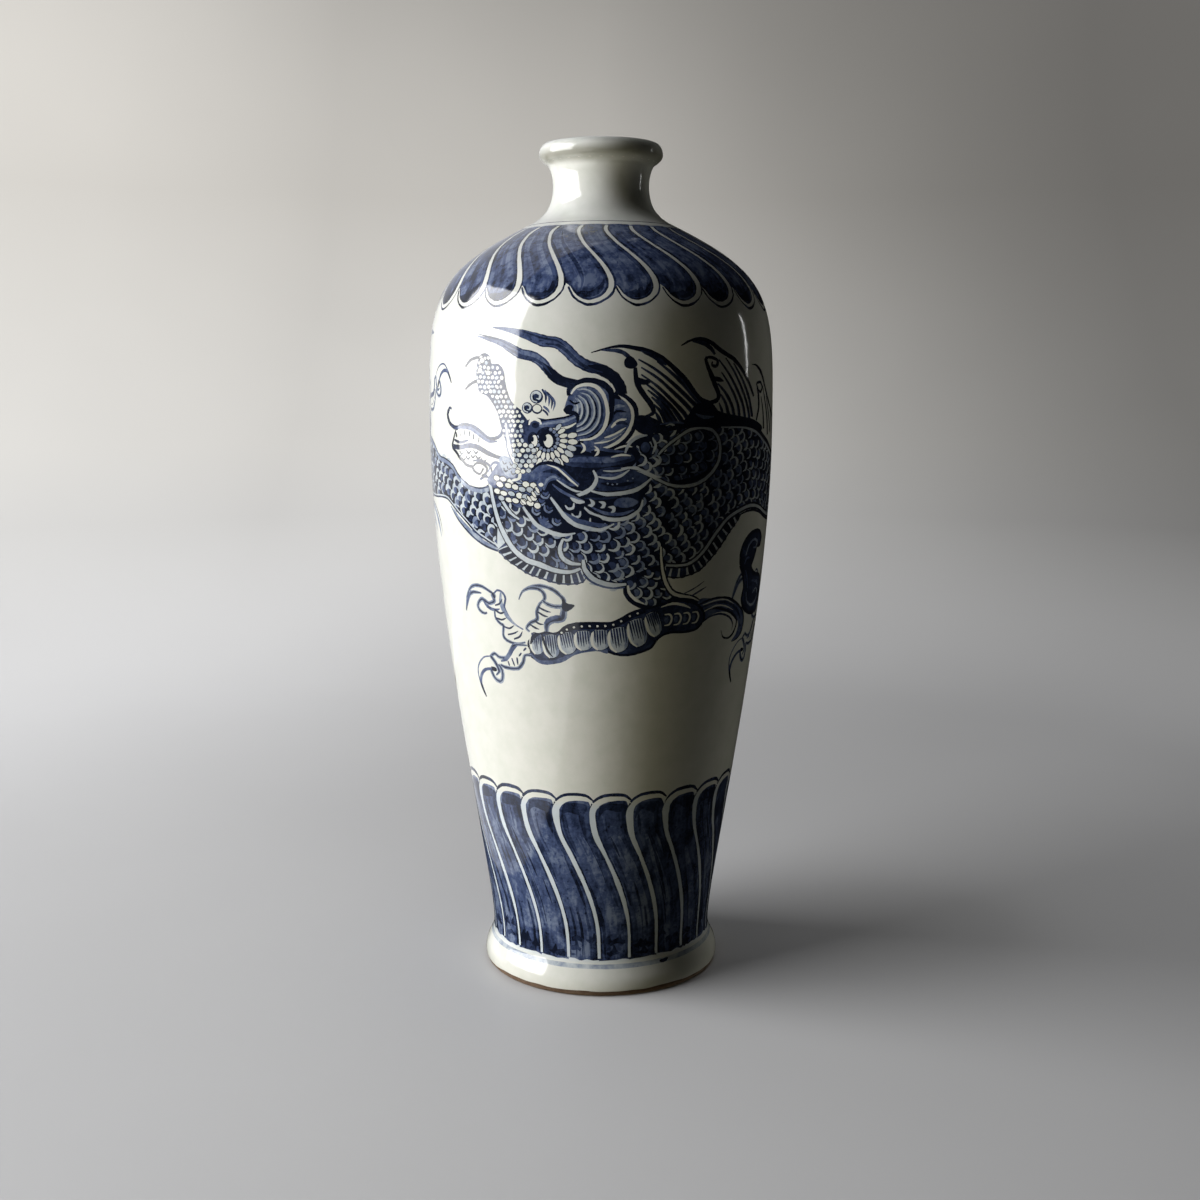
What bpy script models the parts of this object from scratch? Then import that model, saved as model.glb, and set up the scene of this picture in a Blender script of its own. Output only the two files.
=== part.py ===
"""A tall porcelain jar with a flared foot, a high round shoulder, a narrow neck and a rolled lip.

Thrown sections stand one on another with slip between them, and glaze coats the jar inside and out.
Lengths are in metres, +Z is up, and the origin is on the table under the jar's axis.
"""
import math

import bmesh
import bpy
from mathutils import Vector

for old in list(bpy.data.objects):
    bpy.data.objects.remove(old, do_unlink=True)

MM = 0.001

# Heights of the finished jar, each measured from the station below it.
FOOT_EDGE_HEIGHT = 3.5 * MM
FOOT_COVE_HEIGHT = 15.5 * MM
LOWER_HEIGHT = 247.0 * MM
SHOULDER_HEIGHT = 96.6 * MM
NECK_HEIGHT = 18.4 * MM
COLLAR_HEIGHT = 8.8 * MM
LIP_UNDER_HEIGHT = 5.2 * MM
LIP_OVER_HEIGHT = 5.0 * MM

# Outside radii at those stations, and the small steps in and out between them.
FOOT_RADIUS = 58.8 * MM
FOOT_ROUND = 1.8 * MM
WAIST_RADIUS = 54.5 * MM
BELLY_RADIUS = 82.8 * MM
NECK_RADIUS = 22.8 * MM
NECK_ROOT_FLARE = 11.2 * MM
COLLAR_FLARE = 2.1 * MM
LIP_OVERHANG = 4.4 * MM
LIP_CREST_INSET = 3.5 * MM

# How long each curve keeps its direction at its ends, as a share of that curve's own rise or reach.
WAIST_EASE = 0.10
BELLY_EASE_BELOW = 0.38
BELLY_EASE_ABOVE = 0.65
SHOULDER_EASE = 1.12
NECK_ROOT_EASE = 0.41
NECK_EASE = 0.68
COVE_EASE = 0.45
ROUND_EASE = 0.55
COLLAR_EASE = 0.5
MOUTH_EASE = 0.75
SHOULDER_SLOPE = math.radians(26.5)
COLLAR_SLOPE = math.radians(55.0)

# Clay, glaze and slip.
WALL = 5.0 * MM
GLAZE = 0.5 * MM
SLIP = 0.8 * MM
FIT_GAP = 0.3 * MM
SEAM_BEVEL = 2.0 * MM
GLAZE_LINE = 2.4 * MM

# Sections above the foot, measured up from the seam below.
LOWER_SECTION = 130.0 * MM
BELLY_SECTION = 140.0 * MM

# Bottom of the jar.
FOOT_WALL = 4.5 * MM
FOOT_RECESS = 9.0 * MM
FOOT_CHAMFER = 1.0 * MM
FLOOR_LEDGE = 4.2 * MM
FLOOR_THICKNESS = 7.0 * MM
FLOOR_FILLET = 6.0 * MM

# Facets around the jar and along each curve.
SEGMENTS = 32
SHARP_ANGLE = math.radians(40.0)
MERGE_DISTANCE = 0.01 * MM
RIM_STEPS = 3
COVE_STEPS = 5
LOWER_STEPS = 7
SHOULDER_STEPS = 9
NECK_STEPS = 4
COLLAR_STEPS = 3
LIP_STEPS = 3
MOUTH_STEPS = 5
FILLET_STEPS = 3

CLAY_WHITE = (0.80, 0.77, 0.71)
RIM_CLAY = (0.62, 0.50, 0.38)
SLIP_WHITE = (0.76, 0.72, 0.65)
GLAZE_WHITE = (0.74, 0.77, 0.76)
CLAY_ROUGHNESS = 0.55
RIM_ROUGHNESS = 0.75
SLIP_ROUGHNESS = 0.65
GLAZE_ROUGHNESS = 0.12

jar = bpy.data.objects.new("jar", None)
bpy.context.collection.objects.link(jar)


class Surface:
    """The finished surface as a line of (radius, height) points, with the clay on its left."""

    def __init__(self, start):
        self.points = [Vector(start)]
        self.lengths = [0.0]

    def line_to(self, point):
        """Carry the line straight on to a point and return the length reached."""
        point = Vector(point)
        self.lengths.append(self.lengths[-1] + (point - self.points[-1]).length)
        self.points.append(point)
        return self.lengths[-1]

    def curve_to(self, leave, arrive, end, steps):
        """Carry the line on along a cubic curve and return the length reached."""
        start = self.points[-1]
        first = start + Vector(leave)
        last = Vector(end)
        second = last - Vector(arrive)
        for step in range(1, steps + 1):
            t = step / steps
            u = 1 - t
            self.line_to(u**3 * start + 3 * u * u * t * first + 3 * u * t * t * second + t**3 * last)
        return self.lengths[-1]

    def side_at(self, index):
        """Unit vector into the clay at one of the line's points."""
        before = self.points[max(index - 1, 0)]
        after = self.points[min(index + 1, len(self.points) - 1)]
        along = (after - before).normalized()
        return Vector((-along.y, along.x))

    def at(self, length, depth):
        """Point at a length along the line, sunk by a depth into the clay."""
        index = 0
        while index < len(self.lengths) - 2 and self.lengths[index + 1] < length:
            index += 1
        share = (length - self.lengths[index]) / (self.lengths[index + 1] - self.lengths[index])
        point = self.points[index].lerp(self.points[index + 1], share)
        side = self.side_at(index).lerp(self.side_at(index + 1), share).normalized()
        return point + depth * side

    def length_at_height(self, height):
        """Length at which the line, on its way up the outside, first reaches a height."""
        for index in range(1, len(self.points)):
            low = self.points[index - 1].y
            high = self.points[index].y
            if high >= height:
                share = (height - low) / (high - low)
                return self.lengths[index - 1] + share * (self.lengths[index] - self.lengths[index - 1])
        raise ValueError("height above the lip")

    def between(self, start, end, depth):
        """Points from one length to another, either way along the line, at one depth."""
        low = min(start, end)
        high = max(start, end)
        inner = [length for length in self.lengths if low + FIT_GAP < length < high - FIT_GAP]
        run = [self.at(length, depth) for length in [low] + inner + [high]]
        return run if start < end else run[::-1]


def up(rise):
    return (0.0, rise)


def down(drop):
    return (0.0, -drop)


def slope(reach, angle):
    """Step that goes inward and up at an angle from level."""
    return (-reach * math.cos(angle), reach * math.sin(angle))


# Clay lies this deep under the finished surface, outside and inside.
skin = GLAZE + FIT_GAP
wall_and_glaze = WALL + 2 * skin

# Radii that follow from the ones above.
stand_radius = FOOT_RADIUS - FOOT_ROUND
neck_root_radius = NECK_RADIUS + NECK_ROOT_FLARE
collar_radius = NECK_RADIUS + COLLAR_FLARE
lip_radius = collar_radius + LIP_OVERHANG
crest_radius = lip_radius - LIP_CREST_INSET
bore_radius = NECK_RADIUS - wall_and_glaze
floor_seat_radius = WAIST_RADIUS - skin - FOOT_WALL
foot_bore = floor_seat_radius - FLOOR_LEDGE

# Heights above the table.
waist_z = FOOT_EDGE_HEIGHT + FOOT_COVE_HEIGHT
belly_z = waist_z + LOWER_HEIGHT
neck_root_z = belly_z + SHOULDER_HEIGHT
neck_z = neck_root_z + NECK_HEIGHT
collar_z = neck_z + COLLAR_HEIGHT
lip_z = collar_z + LIP_UNDER_HEIGHT
crest_z = lip_z + LIP_OVER_HEIGHT
floor_seat_z = FOOT_RECESS + SLIP + 2 * FIT_GAP
floor_top_z = floor_seat_z + FLOOR_THICKNESS + skin

# Outside of the jar, from the standing rim up to the crest of the lip.
surface = Surface((stand_radius, 0.0))
surface.curve_to((ROUND_EASE * FOOT_ROUND, 0.0), up(ROUND_EASE * FOOT_EDGE_HEIGHT),
                 (FOOT_RADIUS, FOOT_EDGE_HEIGHT), RIM_STEPS)
cove_ease = COVE_EASE * FOOT_COVE_HEIGHT
waist = surface.curve_to(up(cove_ease), up(cove_ease), (WAIST_RADIUS, waist_z), COVE_STEPS)
surface.curve_to(up(WAIST_EASE * LOWER_HEIGHT), up(BELLY_EASE_BELOW * LOWER_HEIGHT),
                 (BELLY_RADIUS, belly_z), LOWER_STEPS)
shoulder_reach = SHOULDER_EASE * (BELLY_RADIUS - neck_root_radius)
neck_root = surface.curve_to(up(BELLY_EASE_ABOVE * SHOULDER_HEIGHT),
                             slope(shoulder_reach, SHOULDER_SLOPE),
                             (neck_root_radius, neck_root_z), SHOULDER_STEPS)
root_reach = NECK_ROOT_EASE * NECK_ROOT_FLARE
neck_waist = surface.curve_to(slope(root_reach, SHOULDER_SLOPE), up(NECK_EASE * NECK_HEIGHT),
                              (NECK_RADIUS, neck_z), NECK_STEPS)
collar_ease = COLLAR_EASE * COLLAR_FLARE
surface.curve_to(up(COLLAR_EASE * COLLAR_HEIGHT),
                 (collar_ease * math.cos(COLLAR_SLOPE), collar_ease * math.sin(COLLAR_SLOPE)),
                 (collar_radius, collar_z), COLLAR_STEPS)
surface.curve_to((ROUND_EASE * LIP_OVERHANG, 0.0), up(ROUND_EASE * LIP_UNDER_HEIGHT),
                 (lip_radius, lip_z), LIP_STEPS)
crest = surface.curve_to(up(ROUND_EASE * LIP_OVER_HEIGHT), (-ROUND_EASE * LIP_CREST_INSET, 0.0),
                         (crest_radius, crest_z), LIP_STEPS)

# Inside of the jar, from the crest down the bore of the neck and the wall to the floor.
outside = Surface(surface.points[0])
for point in surface.points[1:]:
    outside.line_to(point)
mouth_drop = crest_z - neck_z
mouth_ease = ROUND_EASE * (crest_radius - bore_radius)
bore_top = surface.curve_to((-mouth_ease, 0.0), down(MOUTH_EASE * mouth_drop),
                            (bore_radius, neck_z), MOUTH_STEPS)
wall_foot = outside.length_at_height(floor_top_z + FLOOR_FILLET)
for point in outside.between(neck_waist, wall_foot, wall_and_glaze)[1:]:
    surface.line_to(point)
corner_radius = surface.points[-1].x
fillet_ease = ROUND_EASE * FLOOR_FILLET
surface.curve_to(down(fillet_ease), (-fillet_ease, 0.0),
                 (corner_radius - FLOOR_FILLET, floor_top_z), FILLET_STEPS)
floor_centre = surface.line_to((0.0, floor_top_z))


def make_material(name, colour, roughness):
    material = bpy.data.materials.new(name)
    material.use_nodes = True
    shader = material.node_tree.nodes["Principled BSDF"]
    shader.inputs["Base Color"].default_value = (*colour, 1.0)
    shader.inputs["Roughness"].default_value = roughness
    shader.inputs["Metallic"].default_value = 0.0
    return material


def turn(name, outline, material):
    """Turn an outline of (radius, height) points about the jar's axis into one closed piece."""
    mesh = bpy.data.meshes.new(name)
    bm = bmesh.new()
    verts = [bm.verts.new((point[0], 0.0, point[1])) for point in outline]
    touches_axis = outline[0][0] == 0.0
    edges = [bm.edges.new(pair) for pair in zip(verts, verts[1:])]
    if not touches_axis:
        edges.append(bm.edges.new((verts[-1], verts[0])))
    bmesh.ops.spin(bm, geom=verts + edges, cent=(0, 0, 0), axis=(0, 0, 1), angle=math.tau,
                   steps=SEGMENTS, use_merge=True)
    bmesh.ops.remove_doubles(bm, verts=bm.verts, dist=MERGE_DISTANCE)
    bmesh.ops.recalc_face_normals(bm, faces=bm.faces)
    bm.to_mesh(mesh)
    bm.free()
    mesh.shade_smooth()
    mesh.set_sharp_from_angle(angle=SHARP_ANGLE)
    mesh.materials.append(material)
    piece = bpy.data.objects.new(name, mesh)
    piece.parent = jar
    bpy.context.collection.objects.link(piece)
    return piece


def wall_outline(start, end, start_bevel, end_bevel):
    """Outline of a stretch of clay wall whose joint faces lean up towards the inside."""
    outer_face = outside.between(start, end, skin)
    inner_face = outside.between(end + end_bevel, start + start_bevel, skin + WALL)
    return outer_face + inner_face


def slip_outline(seam, bevel):
    """Outline of the layer of slip in a seam of the wall."""
    return wall_outline(seam - SLIP / 2, seam + SLIP / 2, bevel, bevel)


body_clay = make_material("body_clay", CLAY_WHITE, CLAY_ROUGHNESS)
rim_clay = make_material("rim_clay", RIM_CLAY, RIM_ROUGHNESS)
slip_clay = make_material("slip_clay", SLIP_WHITE, SLIP_ROUGHNESS)
clear_glaze = make_material("clear_glaze", GLAZE_WHITE, GLAZE_ROUGHNESS)

# Each seam's layer of slip and its two gaps take this much of the wall on either side of the seam.
half_seam = SLIP / 2 + FIT_GAP
lower_seam = outside.length_at_height(waist_z + LOWER_SECTION)
belly_seam = outside.length_at_height(waist_z + LOWER_SECTION + BELLY_SECTION)

# Foot ring: bare rim up to the glaze line, then a step in under the glaze, and a seat for the floor.
glaze_line = outside.length_at_height(GLAZE_LINE)
glaze_edge = glaze_line + FIT_GAP
foot_outer = outside.between(0.0, glaze_line, 0.0) + outside.between(glaze_line, waist - half_seam, skin)
foot_top_z = foot_outer[-1].y
foot_inner = [
    (floor_seat_radius, foot_top_z),
    (floor_seat_radius, FOOT_RECESS),
    (foot_bore, FOOT_RECESS),
    (foot_bore, FOOT_CHAMFER),
    (foot_bore + FOOT_CHAMFER, 0.0),
]
turn("foot_ring", foot_outer + foot_inner, rim_clay)

# Floor: a slab on the foot ring's seat, with slip under its edge.
floor_radius = floor_seat_radius - FIT_GAP
slip_floor_z = FOOT_RECESS + FIT_GAP
turn("slip_floor", [
    (foot_bore, slip_floor_z),
    (floor_radius, slip_floor_z),
    (floor_radius, slip_floor_z + SLIP),
    (foot_bore, slip_floor_z + SLIP),
], slip_clay)
turn("base_floor", [
    (0.0, floor_seat_z),
    (floor_radius, floor_seat_z),
    (floor_radius, floor_seat_z + FLOOR_THICKNESS),
    (0.0, floor_seat_z + FLOOR_THICKNESS),
], body_clay)

# Thrown sections of the wall and the slip between them.
turn("slip_foot", slip_outline(waist, 0.0), slip_clay)
turn("lower_body", wall_outline(waist + half_seam, lower_seam - half_seam, 0.0, SEAM_BEVEL), body_clay)
turn("slip_lower", slip_outline(lower_seam, SEAM_BEVEL), slip_clay)
turn("belly", wall_outline(lower_seam + half_seam, belly_seam - half_seam, SEAM_BEVEL, SEAM_BEVEL),
     body_clay)
turn("slip_belly", slip_outline(belly_seam, SEAM_BEVEL), slip_clay)
turn("shoulder", wall_outline(belly_seam + half_seam, neck_root - half_seam, SEAM_BEVEL, SEAM_BEVEL),
     body_clay)
turn("slip_neck", slip_outline(neck_root, SEAM_BEVEL), slip_clay)

# Neck and rolled lip in one: up the outside, over the crest, down the bore and back to the seam.
neck_start = neck_root + half_seam
neck_outline = surface.between(neck_start, bore_top, skin)
neck_outline += outside.between(neck_waist, neck_start + SEAM_BEVEL, skin + WALL)[1:]
turn("neck", neck_outline, body_clay)

# Glaze: the outside coat ends above the bare rim, and the two coats meet on the crest of the lip.
half_gap = FIT_GAP / 2
turn("outer_glaze", surface.between(glaze_edge, crest - half_gap, 0.0)
     + surface.between(crest - half_gap, glaze_edge, GLAZE), clear_glaze)
turn("inner_glaze", surface.between(floor_centre, crest + half_gap, 0.0)
     + surface.between(crest + half_gap, floor_centre, GLAZE), clear_glaze)
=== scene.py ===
"""Looks of the tall porcelain jar: painted glaze, bare foot rim, floor, light and camera."""
import math
import random

import bpy
import numpy as np
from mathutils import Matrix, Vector
from mathutils.geometry import delaunay_2d_cdt


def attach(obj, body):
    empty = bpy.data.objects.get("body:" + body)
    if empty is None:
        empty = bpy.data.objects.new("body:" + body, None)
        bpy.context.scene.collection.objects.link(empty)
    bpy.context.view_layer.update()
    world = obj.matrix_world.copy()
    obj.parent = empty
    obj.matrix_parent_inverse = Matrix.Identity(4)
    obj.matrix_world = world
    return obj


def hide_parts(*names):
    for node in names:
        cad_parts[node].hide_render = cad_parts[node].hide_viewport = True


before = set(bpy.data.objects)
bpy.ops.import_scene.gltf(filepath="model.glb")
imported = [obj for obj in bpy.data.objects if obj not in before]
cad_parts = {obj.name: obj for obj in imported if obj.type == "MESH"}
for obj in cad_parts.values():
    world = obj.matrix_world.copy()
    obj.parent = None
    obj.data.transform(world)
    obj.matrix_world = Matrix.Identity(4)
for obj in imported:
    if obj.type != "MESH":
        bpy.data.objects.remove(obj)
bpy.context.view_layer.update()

MM = 0.001

# Finished outline of the jar in millimetres, as the solids have it, with the corner under the lip eased.
FOOT_EDGE_Z = 3.5
WAIST_Z = 19.0
BELLY_Z = 266.0
NECK_ROOT_Z = 362.6
NECK_Z = 381.0
COLLAR_Z = 389.8
LIP_Z = 395.0
CREST_Z = 400.0
STAND_R = 57.0
FOOT_R = 58.8
WAIST_R = 54.5
BELLY_R = 82.8
NECK_ROOT_R = 34.0
NECK_R = 22.8
COLLAR_R = 24.9
LIP_R = 29.3
CREST_R = 25.8
SHOULDER_SLOPE = math.radians(26.5)
COLLAR_SLOPE = math.radians(55.0)
BORE_R = 16.2
WALL_AND_GLAZE = 6.6
GLAZE_LINE_Z = 2.7
FLOOR_TOP_Z = 18.2
FLOOR_FILLET = 6.0
FOOT_BORE_R = 45.0
FOOT_CHAMFER = 1.0
FOOT_RECESS_Z = 9.0
FLOOR_SEAT_R = 49.2
FOOT_TOP_Z = 18.3
SKIN = 0.8
BARE_TOP_Z = 4.2
BARE_SETBACK = 0.12

# Handles of the outline's curves, as shares of what each curve spans.
ROUND = 0.55
FOOT_REACH = 0.45
WAIST_REACH = 0.10
BELLY_LOW_REACH = 0.38
BELLY_HIGH_REACH = 0.65
SHOULDER_REACH = 1.12
NECK_ROOT_REACH = 0.41
NECK_LOW_REACH = 0.68
NECK_HIGH_REACH = 0.5
COLLAR_REACH = 0.5
UNDER_LIP_REACH = 0.34
MOUTH_REACH = 0.75

# Facets: points along the curves, columns round the jar, and limits in millimetres.
CURVE_STEPS = 40
FOOT_STEPS = 12
COLLAR_STEPS = 8
UNDER_LIP_STEPS = 14
LIP_STEPS = 10
MOUTH_STEPS = 16
FILLET_STEPS = 6
INNER_STEP = 3.0
AROUND = 180
CANVAS_ROWS = 92
CANVAS_LOW_Z = 9.0
CANVAS_HIGH_Z = 369.0
CELL = 3.0
CUT_TOLERANCE = 1e-4
EDGE_TOLERANCE = 0.09
EASE_TOLERANCE = 0.03
LONGEST_EDGE = 4.5
END_GAP = 0.2
WELDS_PER_MM = 500

# Inks, from bare ground to the darkest line.
WHITE = 0.0
HINT = 0.08
FAINT = 0.12
PALE = 0.25
WASH = 0.4
MID = 0.5
SHADE = 0.62
DEEP = 0.75
LINE = 1.0

MM_PER_DEGREE = 1.42

rng = random.Random(7)


# Outline

def cubic(start, leave, arrive, end, steps):
    """Points after the start of a cubic curve in the (radius, height) plane."""
    first = (start[0] + leave[0], start[1] + leave[1])
    second = (end[0] - arrive[0], end[1] - arrive[1])
    points = []
    for step in range(1, steps + 1):
        t = step / steps
        u = 1 - t
        weights = (u**3, 3 * u * u * t, 3 * u * t * t, t**3)
        corners = (start, first, second, end)
        points.append(tuple(sum(w * c[axis] for w, c in zip(weights, corners)) for axis in (0, 1)))
    return points


def outer_outline():
    """Outside of the jar, from the standing edge to the crest of the lip."""
    slope = (-math.cos(SHOULDER_SLOPE), math.sin(SHOULDER_SLOPE))
    rise = (math.cos(COLLAR_SLOPE), math.sin(COLLAR_SLOPE))
    ease = FOOT_REACH * (WAIST_Z - FOOT_EDGE_Z)
    body = BELLY_Z - WAIST_Z
    reach = SHOULDER_REACH * (BELLY_R - NECK_ROOT_R)
    root = NECK_ROOT_REACH * (NECK_ROOT_R - NECK_R)
    collar = COLLAR_REACH * (COLLAR_R - NECK_R)
    under = UNDER_LIP_REACH * (LIP_R - COLLAR_R)
    line = [(STAND_R, 0.0)]
    for leave, arrive, end, steps in (
            ((ROUND * (FOOT_R - STAND_R), 0), (0, ROUND * FOOT_EDGE_Z), (FOOT_R, FOOT_EDGE_Z), FOOT_STEPS),
            ((0, ease), (0, ease), (WAIST_R, WAIST_Z), CURVE_STEPS),
            ((0, WAIST_REACH * body), (0, BELLY_LOW_REACH * body), (BELLY_R, BELLY_Z), 4 * CURVE_STEPS),
            ((0, BELLY_HIGH_REACH * (NECK_ROOT_Z - BELLY_Z)), (reach * slope[0], reach * slope[1]),
             (NECK_ROOT_R, NECK_ROOT_Z), 3 * CURVE_STEPS),
            ((root * slope[0], root * slope[1]), (0, NECK_LOW_REACH * (NECK_Z - NECK_ROOT_Z)),
             (NECK_R, NECK_Z), CURVE_STEPS),
            ((0, NECK_HIGH_REACH * (COLLAR_Z - NECK_Z)), (collar * rise[0], collar * rise[1]),
             (COLLAR_R, COLLAR_Z), COLLAR_STEPS),
            ((under * rise[0], under * rise[1]), (0, ROUND * (LIP_Z - COLLAR_Z)), (LIP_R, LIP_Z),
             UNDER_LIP_STEPS),
            ((0, ROUND * (CREST_Z - LIP_Z)), (-ROUND * (LIP_R - CREST_R), 0), (CREST_R, CREST_Z), LIP_STEPS)):
        line += cubic(line[-1], leave, arrive, end, steps)
    return line


def sides(line):
    """Unit vectors out of the clay along an outline with the clay on its left."""
    result = []
    for index in range(len(line)):
        before = line[max(index - 1, 0)]
        after = line[min(index + 1, len(line) - 1)]
        along = Vector((after[0] - before[0], after[1] - before[1])).normalized()
        result.append(Vector((along.y, -along.x)))
    return result


outer = outer_outline()
outer_sides = sides(outer)
outer_lengths = [0.0]
for here, there in zip(outer, outer[1:]):
    outer_lengths.append(outer_lengths[-1] + math.dist(here, there))
outer_radii = [point[0] for point in outer]
outer_heights = [point[1] for point in outer]


def interpolate(x, xs, ys):
    """Value at x on a line through (xs, ys), with xs rising."""
    low, high = 0, len(xs) - 1
    if x <= xs[0]:
        return ys[0]
    if x >= xs[-1]:
        return ys[-1]
    while high - low > 1:
        middle = (low + high) // 2
        if xs[middle] <= x:
            low = middle
        else:
            high = middle
    share = (x - xs[low]) / (xs[high] - xs[low])
    return ys[low] + share * (ys[high] - ys[low])


def length_at(height):
    return interpolate(height, outer_heights, outer_lengths)


def height_at(length):
    return interpolate(length, outer_lengths, outer_heights)


def radius_at(length):
    return interpolate(length, outer_lengths, outer_radii)


def side_at(length):
    across = interpolate(length, outer_lengths, [side.x for side in outer_sides])
    upward = interpolate(length, outer_lengths, [side.y for side in outer_sides])
    return Vector((across, upward)).normalized()


# Drawing on the unrolled jar: places are (degrees round from the front, height in mm).

TAPER = 0.3
STROKE_SWING = (0.9, 1.1)
EDGE_SWING = (0.93, 1.07)

shapes = []


class Pen:
    """Moves a drawing from one place on the jar to another, turned, sized or flipped on the way."""

    def __init__(self, source=(0, 0), target=(0, 0), turn=0.0, size=1.0, flip=False):
        self.source = source
        self.target = target
        self.turn = math.radians(turn)
        self.size = size
        self.flip = -1.0 if flip else 1.0

    def place(self, point):
        x = (point[0] - self.source[0]) * MM_PER_DEGREE * self.size * self.flip
        y = (point[1] - self.source[1]) * self.size
        c, s = math.cos(self.turn), math.sin(self.turn)
        return (self.target[0] + (c * x - s * y) / MM_PER_DEGREE, self.target[1] + s * x + c * y)


pen = Pen()


def spline(points, closed=False, steps=6):
    """Smooth run of places through the given ones."""
    count = len(points)
    spans = count if closed else count - 1
    run = []
    for span in range(spans):
        four = []
        for offset in (-1, 0, 1, 2):
            index = span + offset
            four.append(points[index % count] if closed else points[min(max(index, 0), count - 1)])
        for step in range(steps):
            t = step / steps
            weights = (-t + 2 * t * t - t**3, 2 - 5 * t * t + 3 * t**3, t + 4 * t * t - 3 * t**3,
                       t**3 - t * t)
            run.append(tuple(0.5 * sum(w * p[axis] for w, p in zip(weights, four)) for axis in (0, 1)))
    if not closed:
        run.append(points[-1])
    return run


def off_line(point, before, after):
    """Distance of a point from the line through two others."""
    dx, dy = after[0] - before[0], after[1] - before[1]
    size = math.hypot(dx, dy)
    if size == 0:
        return math.dist(point, before)
    return abs(dx * (point[1] - before[1]) - dy * (point[0] - before[0])) / size


def thinned(points):
    """Edge without the points that lie almost on the line between the ones kept."""
    kept = [points[0]]
    passed = []
    for here, after in zip(points[1:], points[2:] + points[:1]):
        passed.append(here)
        far = math.dist(kept[-1], after) > LONGEST_EDGE
        if far or any(off_line(point, kept[-1], after) > EDGE_TOLERANCE for point in passed):
            kept.append(here)
            passed = []
    return kept


def lay(places, ink):
    """Add one painted patch, given as places around its edge."""
    shapes.append((thinned([(MM_PER_DEGREE * place[0], length_at(place[1])) for place in places]), ink))


def moved(points, across, up):
    """The points shifted by degrees and millimetres."""
    return [(x + across, y + up) for x, y in points]


def patch(points, ink, steps=5):
    """Painted patch with a smooth edge through the points."""
    lay(spline([pen.place(point) for point in points], True, steps), ink)


def stroke(points, width, ink=LINE, start=0.45, end=0.35, steps=5):
    """Brush stroke through the points.

    Width is one number for its middle, with start and end as shares of it, or several numbers along it.
    """
    run = spline([pen.place(point) for point in points], False, steps)
    last = len(run) - 1
    widths = None if isinstance(width, (int, float)) else width
    left = []
    right = []
    wobble = rng.uniform(*STROKE_SWING)
    for index, (angle, height) in enumerate(run):
        before = run[max(index - 1, 0)]
        after = run[min(index + 1, last)]
        scale = math.radians(radius_at(length_at(height)))
        dx = (after[0] - before[0]) * scale
        dy = length_at(after[1]) - length_at(before[1])
        size = math.hypot(dx, dy) or 1.0
        t = index / last
        if widths:
            full = interpolate(t * (len(widths) - 1), range(len(widths)), widths)
        else:
            full = width * min(1.0, start + (1 - start) * t / TAPER, end + (1 - end) * (1 - t) / TAPER)
        half = 0.5 * full * pen.size * wobble * rng.uniform(*EDGE_SWING)
        length = length_at(height)
        left.append((angle - half * dy / size / scale, height_at(length + half * dx / size)))
        right.append((angle + half * dy / size / scale, height_at(length - half * dx / size)))
    lay(left + right[::-1], ink)


# Upper border: leaning lappets under the neck.

RING_LAP = 1.02
UPPER_FRONT = (-44.0, -28.5, -12.3, 3.2, 18.8, 34.0, 50.0)
UPPER_COUNT = 23
UPPER_RIB = ((0.3, 359.2), (-0.4, 356.6), (4.0, 350.8), (9.0, 345.3), (13.2, 339.4), (15.4, 333.5),
             (15.0, 328.8), (12.2, 325.2), (8.0, 323.8), (4.2, 326.3), (2.0, 330.6))
UPPER_TOP_Z = 359.6
UPPER_WIDTHS = (1.5, 1.7, 1.5, 1.6, 1.9, 2.4, 2.3, 1.8, 1.5, 1.0, 0.3)


def ring_of(front, count):
    """Front angles as seen, and the rest spread evenly round the back."""
    rest = count - len(front) + 1
    gap = (360 - (front[-1] - front[0])) / rest
    return list(front) + [front[-1] + gap * step for step in range(1, rest)]


def ring_line(height, width, ink):
    """Line round the jar, with its ends lapped at the back."""
    stroke([(RING_LAP * angle, height) for angle in range(-180, 181, 6)], width, ink, 1, 1, 2)


def shifted(rib, angle, stretch=1.0):
    return [(angle + stretch * point[0], point[1]) for point in rib]


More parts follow.
